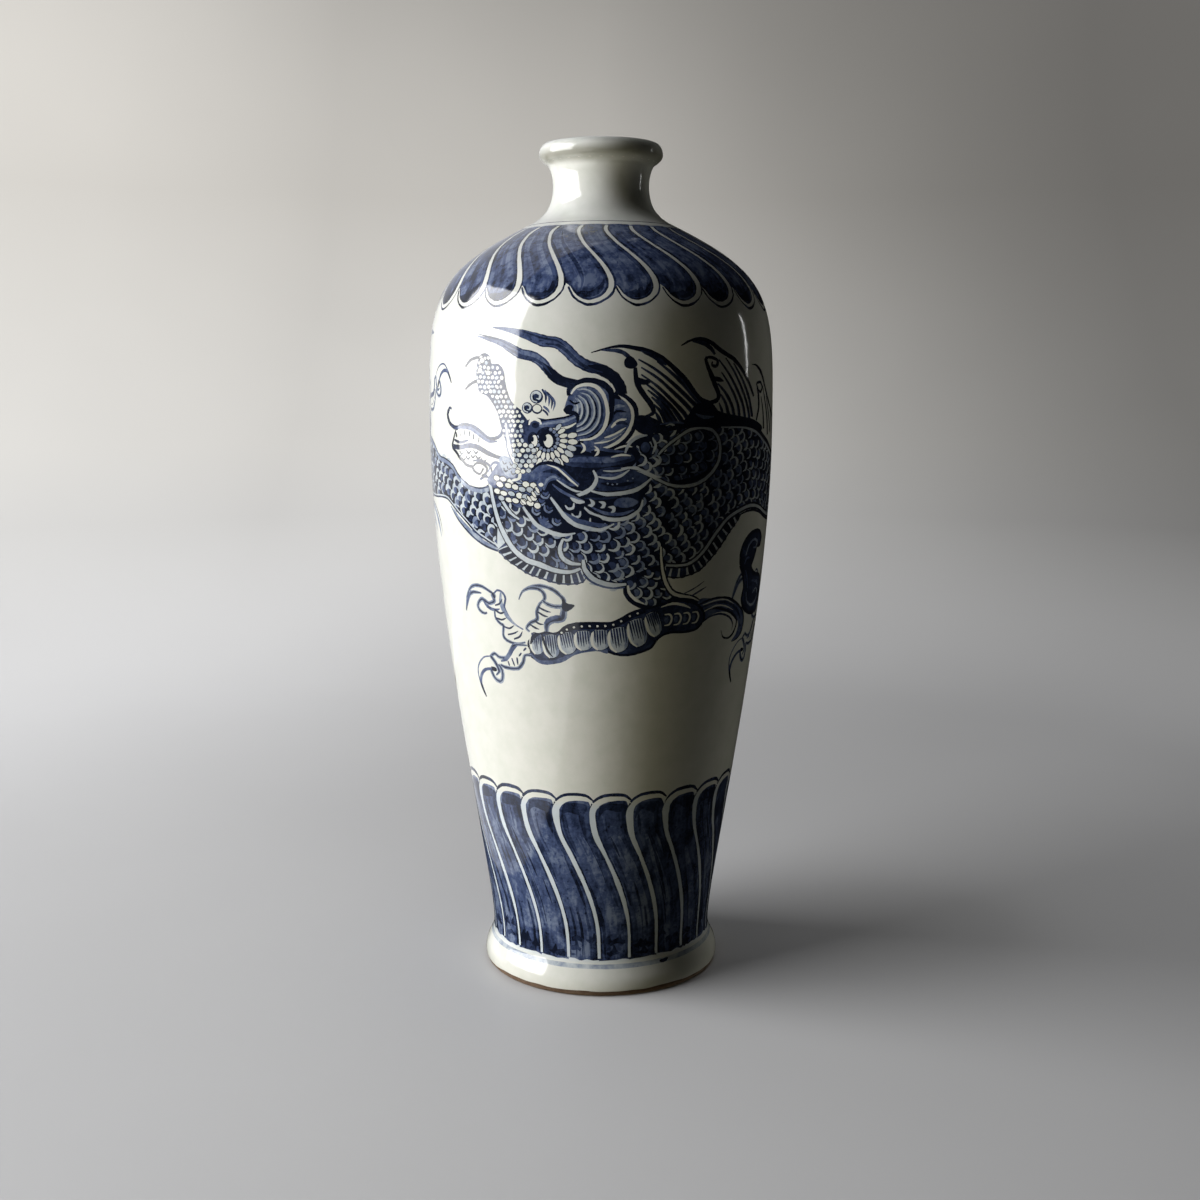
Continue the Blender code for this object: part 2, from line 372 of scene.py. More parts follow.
def upper_border():
    """Row of leaning lappets with white ribs between them."""
    angles = ring_of(UPPER_FRONT, UPPER_COUNT)
    ribs = [shifted(UPPER_RIB, angle, rng.uniform(0.97, 1.03)) for angle in angles]
    for index, rib in enumerate(ribs):
        turned_back = -360 if index == 0 else 0
        previous = moved(ribs[index - 1], turned_back, 0)
        start = (previous[0][0], UPPER_TOP_Z)
        end = (rib[0][0], UPPER_TOP_Z)
        patch([start] + previous[1:6] + rib[:0:-1] + [end], MID, 6)
    for index, rib in enumerate(ribs):
        base = angles[index]
        patch([(base + 3.2, 327.4), (base + 6.4, 325.8), (base + 10.4, 326.2), (base + 13, 329.4),
               (base + 13.4, 334), (base + 12 + rng.uniform(-1, 1), 331.6),
               (base + 9.4, 329.2 + rng.uniform(-1, 1)), (base + 6.4, 328.4)], DEEP)
        for _ in range(3):
            shift = rng.uniform(-11.5, -3.5)
            stroke(moved(rib[1:7], shift, 0), rng.uniform(1.5, 3.8), rng.choice((WASH, WASH, SHADE)),
                   0.2, 0.2)
        stroke(moved(rib[1:6], -1.8, -0.4), rng.uniform(1.6, 3.2), SHADE, 0.2, 0.5)
        stroke(moved(rib[2:5], 1.4, 0.6), rng.uniform(0.9, 1.8), DEEP, 0.2, 0.2)
    for rib in ribs:
        stroke(rib, [width + 1.7 for width in UPPER_WIDTHS], DEEP)
        stroke(moved(rib[6:10], 0, -1.4), 1.2, DEEP, 0.5, 0.4)
    for rib in ribs:
        stroke(rib, UPPER_WIDTHS, WHITE)
    ring_line(361.6, 0.7, DEEP)


# Lower border: tall leaning petals above the foot.

LOWER_FRONT = (-64.0, -48.8, -34.0, -18.8, -3.4, 12.0, 28.0, 43.6, 58.2)
LOWER_COUNT = 24
LOWER_RIB = ((15.4, 97.2), (13.0, 99.0), (9.0, 99.6), (4.5, 99.0), (1.2, 96.4), (-0.2, 91.5), (1.2, 81.0),
             (5.6, 70.0), (10.6, 57.0), (14.6, 44.0), (16.8, 32.0), (17.4, 17.6))
LOWER_EDGE = ((15.6, 98.8), (13.0, 101.2), (9.0, 101.8), (4.2, 101.2), (0.6, 98.6), (-0.9, 95.0))
LOWER_WIDTHS = (0.3, 1.0, 1.9, 2.5, 3.0, 3.2, 2.5, 1.8, 2.2, 2.0, 1.5, 1.4)
LOWER_END_Z = 17.0
# Petal ink sways with the angle round the jar: lighter towards the lit left and darker towards the shaded
# right, as painted light and shade.
PETAL_SHADE_SWING = 0.12
PETAL_SHADE_TURN = 15


def petal_run(rib, after, share, first=5, last=None):
    """Places down a petal at a share of its width, between two points of its ribs."""
    return [(x + share * (other[0] - x), y) for (x, y), other in zip(rib[first:last], after[first:last])]


def petal_wash(rib, after):
    """Streaks that the brush leaves down a petal: light in the middle, dark along its sides and its top."""
    for _ in range(2):
        stroke(petal_run(rib, after, rng.uniform(0.3, 0.65), rng.choice((6, 7))), rng.uniform(2.4, 4.4),
               WASH, 0.2, 0.3)
    for share in (rng.uniform(0.1, 0.22), rng.uniform(0.74, 0.9)):
        stroke(petal_run(rib, after, share, 5, rng.choice((8, 9, 11))), rng.uniform(1.6, 3.6),
               SHADE, 0.7, 0.2)
    stroke(petal_run(rib, after, rng.uniform(0.6, 0.82), 4, rng.choice((7, 8, 9))), rng.uniform(3.0, 5.2),
           SHADE, 0.8, 0.2)
    stroke(petal_run(rib, after, rng.uniform(0.7, 0.88), 4, rng.choice((7, 8))), rng.uniform(1.6, 3.0),
           DEEP, 0.8, 0.2)
    for _ in range(9):
        first = rng.choice((5, 6, 7, 8, 9))
        stroke(petal_run(rib, after, rng.uniform(0.12, 0.88), first, first + rng.choice((2, 3))),
               rng.uniform(0.6, 1.6), rng.choice((SHADE, DEEP, DEEP, WASH)), 0.2, 0.2)


def petal_blots(rib):
    """Dark blots where the ink has run to the foot of a petal."""
    for _ in range(3):
        x = rib[-1][0] + rng.uniform(2.5, 13)
        y = rng.uniform(18, 28)
        patch([(x + dx * rng.uniform(0.7, 1.6), y + dy * rng.uniform(0.6, 1.8))
               for dx, dy in ((-3, 0.2), (-1.6, -1.2), (0.2, -0.8), (1.8, -1.2), (3, 0), (1.4, 0.9),
                              (0.2, 2.4), (-1.2, 0.9))], DEEP, 3)


def lower_border():
    """Row of tall petals with white ribs between them."""
    angles = ring_of(LOWER_FRONT, LOWER_COUNT)
    ribs = [shifted(LOWER_RIB, angle, rng.uniform(0.97, 1.03)) for angle in angles]
    for index, rib in enumerate(ribs):
        onward = 360 if index == len(ribs) - 1 else 0
        after = moved(ribs[(index + 1) % len(ribs)], onward, 0)
        foot = [(rib[-1][0] + share * (after[-1][0] - rib[-1][0]), LOWER_END_Z + rng.uniform(-0.7, 0.5))
                for share in (0.0, 0.2, 0.4, 0.6, 0.8, 1.0)]
        # Painted light and shade: each petal's ink is lighter towards the lit left and darker towards the
        # shaded right.
        patch(rib[1:] + foot + after[:4:-1],
              MID + PETAL_SHADE_SWING * math.sin(math.radians(angles[index] + PETAL_SHADE_TURN)), 6)
        petal_wash(rib, after)
    for rib in ribs:
        patch([(rib[1][0] - 0.6, 96.8), (rib[3][0], 97.2), (rib[4][0] + 1.6, 95), (rib[5][0] + 2, 88),
               (rib[5][0] + 3.4, 91.4), (rib[3][0] + 1, 93.2 + rng.uniform(-2, 1)),
               (rib[2][0] + 2, 93 + rng.uniform(-2.5, 1))], DEEP)
        petal_blots(rib)
    for index, rib in enumerate(ribs):
        stroke(moved(rib[5:], -0.9, 0), [rng.uniform(1.2, 2.8) for _ in rib[5:]], SHADE)
        stroke(moved(rib[5:], 0.9, 0), [rng.uniform(0.8, 2.2) for _ in rib[5:]], DEEP)
        stroke(shifted(LOWER_EDGE, angles[index]), (0.8, 1.6, 1.8, 1.6, 1.3, 0.7), DEEP)
    for rib in ribs:
        stroke(rib, [width * rng.uniform(0.84, 1.18) for width in LOWER_WIDTHS], WHITE)
    ring_line(13.8, 2.1, HINT)
    stroke([(30.5, 13.7), (33, 13.5), (36, 14.1)], 1.7, DEEP, 0.5, 0.3)


# Dragon: body

def local(points, place, tilt=0.0, size=1.0):
    """Places of points given in millimetres about a place, turned by tilt degrees."""
    c, s = math.cos(math.radians(tilt)), math.sin(math.radians(tilt))
    return [(place[0] + size * (c * x - s * y) / MM_PER_DEGREE, place[1] + size * (s * x + c * y))
            for x, y in points]


def ball(place, width, height=None, ink=LINE, tilt=0.0):
    """Small oval dab."""
    a, b = width / 2, (height or width) / 2
    patch(local([(-a, 0), (-0.7 * a, -0.7 * b), (0, -b), (0.7 * a, -0.7 * b), (a, 0), (0.7 * a, 0.7 * b),
                 (0, b), (-0.7 * a, 0.7 * b)], place, tilt), ink, 2)


def bead(place, width, height, ink, rim, tilt=0.0):
    """Small oval dab in a dark rim."""
    ball(place, width + rim, height + rim, LINE, tilt)
    ball(place, width, height, ink, tilt)


def within(place, edge):
    """Whether a place lies inside a closed edge."""
    x, y = place
    result = False
    for (ax, ay), (bx, by) in zip(edge, edge[1:] + edge[:1]):
        if (ay > y) != (by > y) and x < ax + (bx - ax) * (y - ay) / (by - ay):
            result = not result
    return result


SCALE_ARC = ((-0.12, 0.46), (0.22, 0.4), (0.44, 0.22), (0.5, 0.0), (0.44, -0.22), (0.2, -0.42), (-0.2, -0.46))
SCALE_ARC_WIDTHS = (0.04, 0.12, 0.18, 0.24, 0.25, 0.2, 0.06)
SCALE_HEART = ((-0.3, 0.12), (-0.04, 0.32), (0.26, 0.22), (0.38, 0.0), (0.28, -0.2), (0.0, -0.24),
               (-0.14, -0.06))
SCALE_STEP = 1.04
SCALE_INKS = (MID, MID, DEEP, DEEP, SHADE)
EDGE_INKS = (HINT, HINT, FAINT, FAINT, PALE)
BODY_EDGE_INKS = (HINT, FAINT, FAINT, PALE, PALE)
SHADE_EDGE_INKS = (FAINT, PALE, PALE, PALE, MID)


def scale_lean(angle):
    """Turn of the scales against their row: they droop under the head and lie level along the body."""
    return interpolate(angle, (-50, -34, -10, 30), (-8, -32, -32, -4))


def scale_rows(flow, rows, gap, size, edge, skip=(), turn=0.0, bold=1.0, inks=EDGE_INKS):
    """Rows of scales that run with a flow line, kept inside an edge and out of the skipped ones."""
    line = spline(flow, False, 12)
    for row in rows:
        travelled = 0.5 * size * (row % 2)
        for here, there in zip(line, line[1:]):
            dx = MM_PER_DEGREE * (there[0] - here[0])
            dy = there[1] - here[1]
            travelled += math.hypot(dx, dy)
            if travelled < SCALE_STEP * size:
                continue
            travelled -= SCALE_STEP * size
            tilt = math.degrees(math.atan2(dy, dx))
            place = (here[0] + rng.uniform(-0.3, 0.3), here[1] + gap * row + rng.uniform(-0.35, 0.35))
            if not within(place, edge) or any(within(place, other) for other in skip):
                continue
            one = size * rng.uniform(0.88, 1.08)
            tilt += turn + scale_lean(place[0]) + rng.uniform(-12, 12)
            first = rng.choice((0, 0, 1, 2))
            patch(local(SCALE_HEART, place, tilt, one), rng.choice(SCALE_INKS), 2)
            widths = [share * one * bold * rng.uniform(0.75, 1.25) for share in SCALE_ARC_WIDTHS[first:]]
            stroke(local(SCALE_ARC[first:], place, tilt, one), widths, rng.choice(inks), steps=2)


PLATE_SPAN = (0.15, 0.78)


def plates(upper, lower, count, lean=0.35):
    """Slanting belly plates between two edges that run the same way."""
    top = spline(upper, False, 8)
    bottom = spline(lower, False, 8)
    for number in range(count):
        t = (number + PLATE_SPAN[0]) / count
        u = (number + PLATE_SPAN[1]) / count
        spots = []
        for run, shares in ((top, (t, u)), (bottom, (u - lean / count, t - lean / count))):
            for share in shares:
                index = min(max(share, 0.0), 1.0) * (len(run) - 1)
                base = min(int(index), len(run) - 2)
                part = index - base
                spots.append(tuple(run[base][axis] * (1 - part) + run[base + 1][axis] * part
                                   for axis in (0, 1)))
        patch(spots, rng.choice((LINE, DEEP)), 3)


TAIL_TOP = [(-84, 262.0), (-80, 263), (-75, 262), (-70, 259), (-65, 254.5), (-60, 253.5), (-55, 251),
            (-52, 247), (-48, 243.5), (-45, 242), (-41, 241.5), (-36, 243)]
TAIL_BOTTOM = [(-84, 237), (-76, 236), (-70, 236), (-65, 236.5), (-60, 236), (-56, 233), (-52, 229.5),
               (-48, 226), (-44, 222), (-40, 219.5), (-36, 217), (-33, 215.5)]
CHEST_TOP = [(-36, 246), (-30, 248), (-20, 250), (-10, 252), (0, 258), (8, 264), (16, 268), (25, 270.5),
             (33, 271.5), (40, 271), (50, 270.5), (55, 269.5), (60, 267.5), (65, 264), (70, 261), (76, 257),
             (82, 254)]
CHEST_BOTTOM = [(-35, 217), (-31, 220), (-28, 215), (-24, 211.5), (-20, 210), (-15, 207.5), (-10, 207),
                (-6, 208.5), (-5, 206), (-3, 203.5), (0, 201.5), (4, 200.3), (8, 200.8), (14, 201),
                (20, 203.5), (21, 206.5), (25, 206.5), (30, 207), (34, 210), (38, 216), (42, 222), (46, 227),
                (50, 230), (55, 231.5), (60, 231.5), (65, 230), (70, 227.5), (76, 225.5), (82, 225)]
SHOULDER_OVAL = [(17.5, 258.5), (20, 262), (24, 266), (28, 269), (33, 270), (37, 268), (39.5, 263),
                 (39.5, 256), (37, 250.5), (33, 246.5), (28, 244.5), (22, 245), (17, 248), (15.5, 253)]
BODY_FLOW = [(-40, 226), (-30, 222), (-20, 217), (-10, 214), (0, 214), (10, 218), (20, 226), (30, 234),
             (42, 242), (55, 248), (68, 246), (84, 240)]
TAIL_FLOW = [(-86, 249), (-75, 249), (-65, 245.5), (-60, 244.5), (-55, 241.5), (-50, 236), (-45, 232),
             (-40, 229.5), (-34, 227)]
BACK_SPINE = [(76, 241.5), (82, 239.5), (90, 234.5), (105, 223), (120, 214), (140, 211), (160, 217),
              (180, 230), (200, 243), (215, 250), (230, 252), (245, 250), (260, 248.5), (276, 249.5),
              (284, 248.5)]
BACK_HALF = (14.5, 12.5)


def back_edges():
    """Upper and lower edge of the body round the back."""
    count = len(BACK_SPINE)
    halves = [BACK_HALF[0] + (BACK_HALF[1] - BACK_HALF[0]) * i / (count - 1) for i in range(count)]
    top = []
    bottom = []
    for index, ((x, y), half) in enumerate(zip(BACK_SPINE, halves)):
        before = BACK_SPINE[max(index - 1, 0)]
        after = BACK_SPINE[min(index + 1, count - 1)]
        dx = MM_PER_DEGREE * (after[0] - before[0])
        dy = after[1] - before[1]
        size = math.hypot(dx, dy)
        top.append((x - half * dy / size / MM_PER_DEGREE, y + half * dx / size))
        bottom.append((x + half * dy / size / MM_PER_DEGREE, y - half * dx / size))
    return top, bottom


def dorsal_fin(spot, tilt, size=1.0):
    """Short swept fin with ribs, standing on the back of the body."""
    edge = local([(0, 0), (1.5, 5), (0, 11), (-5, 15), (2, 14.5), (9, 11), (14, 5), (18, 0)],
                 spot, tilt, size)
    patch(edge, WHITE)
    stroke(edge[3:], 1.3 * size, LINE, 0.2, 0.6)
    stroke(edge[:4], 0.9 * size, DEEP, 0.8, 0.2)
    for start, end in (((2, 1), (0.5, 11)), ((5.5, 0.5), (3.5, 12.5)), ((9, 0.5), (6.5, 11)),
                       ((12.5, 0.5), (10, 8))):
        middle = (0.5 * (start[0] + end[0]) + 1.6, 0.5 * (start[1] + end[1]))
        stroke(local([start, middle, end], spot, tilt, size), 0.8 * size, LINE, 0.9, 0.2)


def back_body():
    """Body round the back, with fins, scales and belly plates."""
    top, bottom = back_edges()
    for index in range(1, len(top) - 2):
        for part in (0.1, 0.6):
            here, there = top[index], top[index + 1]
            spot = (here[0] + part * (there[0] - here[0]), here[1] + part * (there[1] - here[1]) - 0.5)
            tilt = math.degrees(math.atan2(there[1] - here[1], MM_PER_DEGREE * (there[0] - here[0])))
            dorsal_fin(spot, tilt, 0.62)
    patch(top + bottom[::-1], LINE, 4)
    scale_rows(BACK_SPINE, (-2, -1, 0, 1, 2), 4.6, 5.2, top + bottom[::-1], (), 0.0, 1.1)
    stroke(top, 2.6, LINE, 1, 1)
    stroke(moved(top, 0, -1.6), 1.1, HINT, 1, 1)
    stroke(bottom, 2.2, LINE, 1, 1)
    inner = moved(bottom, 0, 3.6)
    patch(inner + bottom[::-1], WHITE, 4)
    plates(inner, bottom, 46)
    stroke(bottom, 0.9, LINE, 1, 1)
    stroke(moved(inner, 0, 0.9), 1.2, HINT, 1, 1)


def tail():
    """Scaled body to the left of the head."""
    edge = TAIL_TOP + TAIL_BOTTOM[::-1]
    patch(edge, LINE)
    scale_rows(TAIL_FLOW, (-3, -2, -1, 0, 1, 2, 3), 4.4, 5.0, edge, (), 180.0, 1.45)
    stroke(TAIL_TOP, 2.0, PALE, 1, 1)
    stroke(moved(TAIL_TOP, 0, 1.1), 0.8, DEEP, 1, 1)
    stroke([(-58, 233), (-54, 228.8), (-50, 225), (-45, 220.8), (-40, 217.6), (-35, 215.6)],
           2.4, PALE, 0.3, 0.8)
    stroke(moved(TAIL_BOTTOM, 0, 0.6), 1.0, HINT, 1, 1)
    stroke(TAIL_BOTTOM, 0.9, DEEP, 1, 1)
    stroke([(-57, 231.5), (-54, 227.6), (-50, 223.6), (-45, 219.4), (-40, 216.4), (-35, 214.8)],
           0.9, DEEP, 0.3, 1)


def chest():
    """Scaled body to the right of the head, with the shoulder and the belly plates."""
    edge = CHEST_TOP + CHEST_BOTTOM[::-1]
    patch(edge, LINE)
    scale_rows(BODY_FLOW, range(-6, 12), 4.7, 5.3, edge, (SHOULDER_OVAL,), inks=BODY_EDGE_INKS)
    scale_rows([(12, 256), (28, 257), (44, 258)], (-2, -1, 0, 1, 2), 4.6, 5.4, SHOULDER_OVAL, (),
               0.0, 0.8, SHADE_EDGE_INKS)
    stroke([(22, 246.6), (28, 246.4), (33, 248.4), (36, 251.5)], 3.0, LINE, 0.2, 0.2)
    hook = SHOULDER_OVAL[:-1] + [(13, 250.5), (8, 252)]
    stroke(hook, 3.0, LINE, 0.6, 0.4)
    stroke(hook, 1.5, FAINT, 0.6, 0.4)
    stroke(CHEST_TOP[6:], 3.4, LINE, 0.4, 0.8)
    stroke(moved(CHEST_TOP[9:], 0, -1.2), 1.1, FAINT, 0.3, 1)
    lower = [(21, 209.5), (25, 209), (29, 209.5), (32, 211.5), (35, 215), (38, 220), (41, 224.5), (45, 229),
             (50, 231.5), (55, 233), (60, 233), (65, 231.5), (70, 229), (76, 227), (83, 226)]
    under = [(21, 204.5), (25, 203.5), (30, 204.5), (34, 206.5), (37, 210), (40, 213.5), (43, 218),
             (46, 222.5), (49, 226), (52, 230.2)]
    patch(lower[:9] + under[::-1], HINT)
    plates(lower[:9], under, 13)
    stroke(under, 0.9, LINE, 0.8, 0.5)
    stroke(lower, 3.2, LINE, 0.7, 0.8)
    stroke(lower, 1.5, HINT, 0.6, 0.8)
    stroke(moved(lower[8:], 0, -2.2), 1.0, LINE, 0.6, 0.9)


# Dragon: foreleg and claws, also used for the hind legs

def foreleg():
    """Foreleg with scales, a tuft, plates, beads and claws."""
    upper = [(7.5, 204), (7.5, 201), (8, 197.5), (10, 194), (13, 191.5), (16, 190.5), (20, 186), (28, 184),
             (37, 185), (36.5, 188.5), (34, 192), (31, 194), (27, 195), (24, 196.5), (22, 199.5), (20.5, 204),
             (19.5, 210)]
    patch(upper, LINE)
    scale_rows([(6, 202), (14, 202), (26, 200)], (-2, -1, 0, 1), 4.4, 5.0, upper)
    back = [(19, 218), (19.5, 210), (20.5, 204), (22, 199.5), (24, 196.5), (27, 195), (31, 194), (35, 191.5)]
    stroke(back, 3.0, LINE, 0.5, 0.5)
    stroke(back, 1.5, WHITE, 0.5, 0.3)
    stroke([(7.5, 202), (8, 197.5), (10, 194), (13, 191.5), (16, 190.5)], 2.6, LINE, 0.6, 0.6)
    stroke([(8.6, 201), (9, 197.8), (11, 194.6), (14, 192.4)], 1.3, WHITE, 0.6, 0.4)
    tuft()
    arm = [(16, 190.5), (12, 189.5), (9, 188), (6, 185.5), (3, 184), (0, 184), (-5, 184), (-9, 183.5),
           (-12, 182), (-14, 179.5), (-16, 178.5), (-18, 179), (-19.5, 180), (-22, 179), (-24.5, 176),
           (-25.5, 172), (-25, 168), (-23, 166), (-20, 164.5), (-17, 165), (-13, 166.5), (-9, 170),
           (-5, 171.5), (-1, 172), (2, 171), (5, 169.5), (9, 169), (13, 170), (17, 172), (19, 175.5),
           (21, 177.5), (24, 178.5), (28, 178.2), (33, 178.5), (36, 181), (37, 185), (34, 190), (26, 193)]
    patch(arm, DEEP)
    stroke(arm + arm[:1], 1.1, LINE, 1, 1)
    patch([(-25, 169), (-22, 166), (-17, 166), (-13, 168), (-9, 171), (-5, 172.2), (-1, 173), (2, 172),
           (2, 169.8), (-1, 171), (-5, 170.5), (-9, 169), (-13, 165.6), (-17, 164.2), (-20, 163.8),
           (-23, 165.2)], MID)
    for x, y, wide, high, tilt in ((-22, 173.4, 7.0, 10.2, 0), (-16.8, 172.6, 8.2, 11.0, 4),
                                   (-11.2, 174.4, 8.4, 10.2, 10), (-5.6, 175.8, 8.6, 9.2, 4),
                                   (0, 176.2, 8.6, 9.4, 2), (6, 176.2, 9.4, 11.6, 8),
                                   (12.4, 179.2, 9.0, 13.0, 14), (17.8, 182.8, 7.2, 11.6, 20)):
        plate = [(wide * px, high * py)
                 for px, py in ((-0.46, 0.3), (-0.28, 0.48), (0.3, 0.47), (0.46, 0.24), (0.42, -0.24),
                                (0.2, -0.44), (-0.2, -0.48), (-0.44, -0.28), (-0.52, 0))]
        patch(local([(px * 1.1, py * 1.06) for px, py in plate], (x, y), tilt), LINE, 3)
        patch(local(plate, (x, y), tilt), FAINT, 3)
        patch(local([plate[2], plate[3], plate[4], plate[5], (0.26 * wide, -0.16 * high),
                     (0.3 * wide, 0.2 * high)], (x, y), tilt), PALE, 3)
        stroke(local([plate[1], plate[0], plate[8], plate[7], plate[6]], (x, y), tilt),
               1.2, WHITE, 0.4, 0.5, 3)
        for step in (-0.34, -0.2, -0.06, 0.08, 0.22, 0.35):
            low = rng.uniform(-0.34, -0.02)
            stroke(local([(wide * step, 0.48 * high), (wide * (step + 0.02), low * high)], (x, y), tilt),
                   0.85, DEEP, 1.0, 0.3, 2)
    for x in (22.5, 26, 29.5, 33):
        stroke(local([(-1.6, 2.4), (1, 2.4), (2.2, 0.3), (1, -2.2), (-1.6, -2.6)], (x, 184.5)),
               0.9, WHITE, 0.5, 0.4, 3)
        ball((x - 0.4, 184.5), 2.2, 3.2, MID)
    stroke([(20, 190.5), (24, 191.8), (28, 190.8), (31, 189)], 1.1, WHITE, 0.3, 0.3)
    stroke([(14.5, 189.2), (12, 188.2), (9, 186.8), (6, 184.2), (3, 182.8), (0, 182.6), (-5, 182.6),
            (-9, 182), (-12, 180.6), (-14, 178.6)], 3.2, LINE, 0.6, 0.6)
    for x, y in ((12, 188.2), (9.4, 187), (6.6, 184.8), (4, 183.2), (1.4, 182.7), (-1.2, 182.6),
                 (-3.8, 182.6), (-6.4, 182.4), (-9, 181.9), (-11.4, 180.8), (-13.2, 179.2)):
        ball((x, y), 1.2, 1.1, WHITE)
    stroke([(-18.5, 179), (-21, 178.6), (-23.4, 176.4), (-24.6, 173)], 2.0, LINE, 0.5, 0.4)
    stroke([(-20.3, 178.6), (-19.4, 174), (-18.2, 170), (-16.5, 167.6)], 1.2, LINE, 0.9, 0.3)
    claws()


def washed(points, width, ink=MID, start=0.45, end=0.35):
    """Brush line with a paler wash beside it."""
    stroke(points, width + 0.9, PALE, start, end)
    stroke(points, 0.75 * width, ink, start, end)


def creases(*runs):
    """Short dark lines across a toe."""
    for run in runs:
        stroke(run, 0.9, DEEP, 0.8, 0.3, 3)


def first_toe():
    """Toe that points up to the left."""
    toe = [(-43, 190), (-40, 189.8), (-38, 190.5), (-37, 192.5), (-38, 195), (-36.5, 196.5), (-34.5, 196),
           (-33.3, 193.5), (-33.5, 191), (-34, 189), (-32.5, 185), (-30, 181.5), (-27, 179.5), (-24.5, 177),
           (-26, 174), (-30, 172.5), (-34, 173.5), (-35.5, 176), (-35, 180), (-36, 181), (-38, 183),
           (-38.5, 186.5), (-41.5, 188)]
    patch(toe, WHITE)
    washed([(-38.8, 195), (-43, 197.3), (-47, 197.5), (-50, 195.5), (-52.3, 191), (-53.6, 184.5)],
           1.0, DEEP, 0.8, 0.5)
    washed([(-44, 194.3), (-48, 194.2), (-50.5, 192.5), (-52.5, 188.5), (-53.4, 185.5)], 1.3, DEEP, 0.4, 0.6)
    stroke([(-49.5, 194.8), (-51.6, 191), (-53, 187)], 1.2, MID, 0.2, 0.4)
    washed([(-39, 194.6), (-38.2, 192.4), (-38.5, 191), (-41, 190), (-43.5, 191.5), (-45, 190.8),
            (-46.4, 188.4), (-45.6, 186), (-43.5, 184.9), (-42, 185.4)], 1.1, DEEP, 1, 0.5)
    washed([(-38.8, 195.2), (-37.8, 192.8)], 2.2, DEEP, 0.5, 0.5)
    stroke([(-43.6, 191.2), (-41.5, 188.4), (-38.5, 187.2), (-36, 188)], 1.4, MID, 0.4, 0.3)
    stroke([(-38, 195), (-36.5, 196.6), (-34.5, 196), (-33.3, 193.5), (-33.7, 191), (-34, 189), (-32.5, 185),
            (-30, 181.5), (-27, 179.5)], 1.2, MID, 0.7, 0.6)
    stroke([(-35, 196), (-35.4, 192), (-34.6, 188), (-32.4, 184), (-29.6, 181)], 2.0, PALE, 0.4, 0.4)
    washed([(-38.4, 187), (-38.2, 183.6), (-36.4, 181.2), (-35, 180.2), (-35.4, 176), (-34, 173.6),
            (-30, 172.5), (-26.5, 173.6)], 1.0, DEEP, 0.6, 0.6)
    creases([(-38, 189.4), (-36, 190.4), (-34.6, 192.8)], [(-38.4, 187.4), (-36, 186), (-34, 186.8)],
            [(-38, 183.6), (-35.6, 183), (-33.4, 184.2)], [(-35, 180), (-32.5, 179.4), (-30.5, 181)],
            [(-33.4, 176.4), (-31, 177.2), (-29, 178.6)], [(-31, 174.6), (-28.6, 176), (-27.4, 178.6)])


def second_toe():
    """Toe that points up."""
    toe = [(-25.7, 181), (-24, 183), (-21.5, 184.5), (-21.5, 188), (-20.5, 191.5), (-19, 193.5), (-16, 191.5),
           (-12.5, 191), (-12.8, 187), (-13, 185.5), (-16.5, 185), (-18.2, 183), (-18.5, 180), (-22, 178.5)]
    patch(toe, WHITE)
    washed([(-24.6, 178.8), (-25.7, 180.4), (-24, 183), (-21.6, 184.8), (-21.6, 188), (-20.6, 191.5),
            (-19.2, 193.6)], 0.9, DEEP, 0.7, 0.7)
    washed([(-18.4, 179.4), (-18.2, 182.8), (-16.4, 184.9), (-13.2, 185.6), (-12.4, 187.6), (-12.2, 190.4)],
           2.2, DEEP, 0.6, 0.9)
    stroke([(-19, 183), (-17.6, 184.8), (-15, 186.4), (-13, 186.6)], 1.6, MID, 0.4, 0.4)
    washed([(-28, 193.2), (-26.6, 196.8), (-24, 199), (-20, 200.3), (-16, 199), (-13.5, 196.5), (-12, 194),
            (-12.5, 191.6)], 1.1, DEEP, 0.3, 1)
    washed([(-26.6, 197.2), (-24, 198.9), (-21, 199), (-19.2, 197.6), (-18.5, 195.2), (-19, 193.6)],
           1.0, DEEP, 0.4, 0.8)
    washed([(-19.4, 193.8), (-18, 192.2), (-15.6, 191.2), (-12.5, 191.2), (-9.4, 192)], 1.1, DEEP, 0.6, 0.6)
    patch([(-12.4, 193.4), (-10.6, 192.6), (-8.6, 192), (-9.6, 190.2), (-11.6, 189), (-12.9, 190.6)], LINE, 3)
    stroke([(-12.4, 194.8), (-12, 192)], 1.8, LINE, 0.6, 0.8)
    creases([(-20.8, 190.4), (-18.6, 189), (-16.6, 188.4)], [(-21.2, 188.2), (-19.4, 186.8), (-17.6, 186.2)],
            [(-22.6, 184.2), (-21, 182.8), (-19.4, 182.6)], [(-24.4, 182.2), (-22.6, 180.8), (-21, 180.2)])


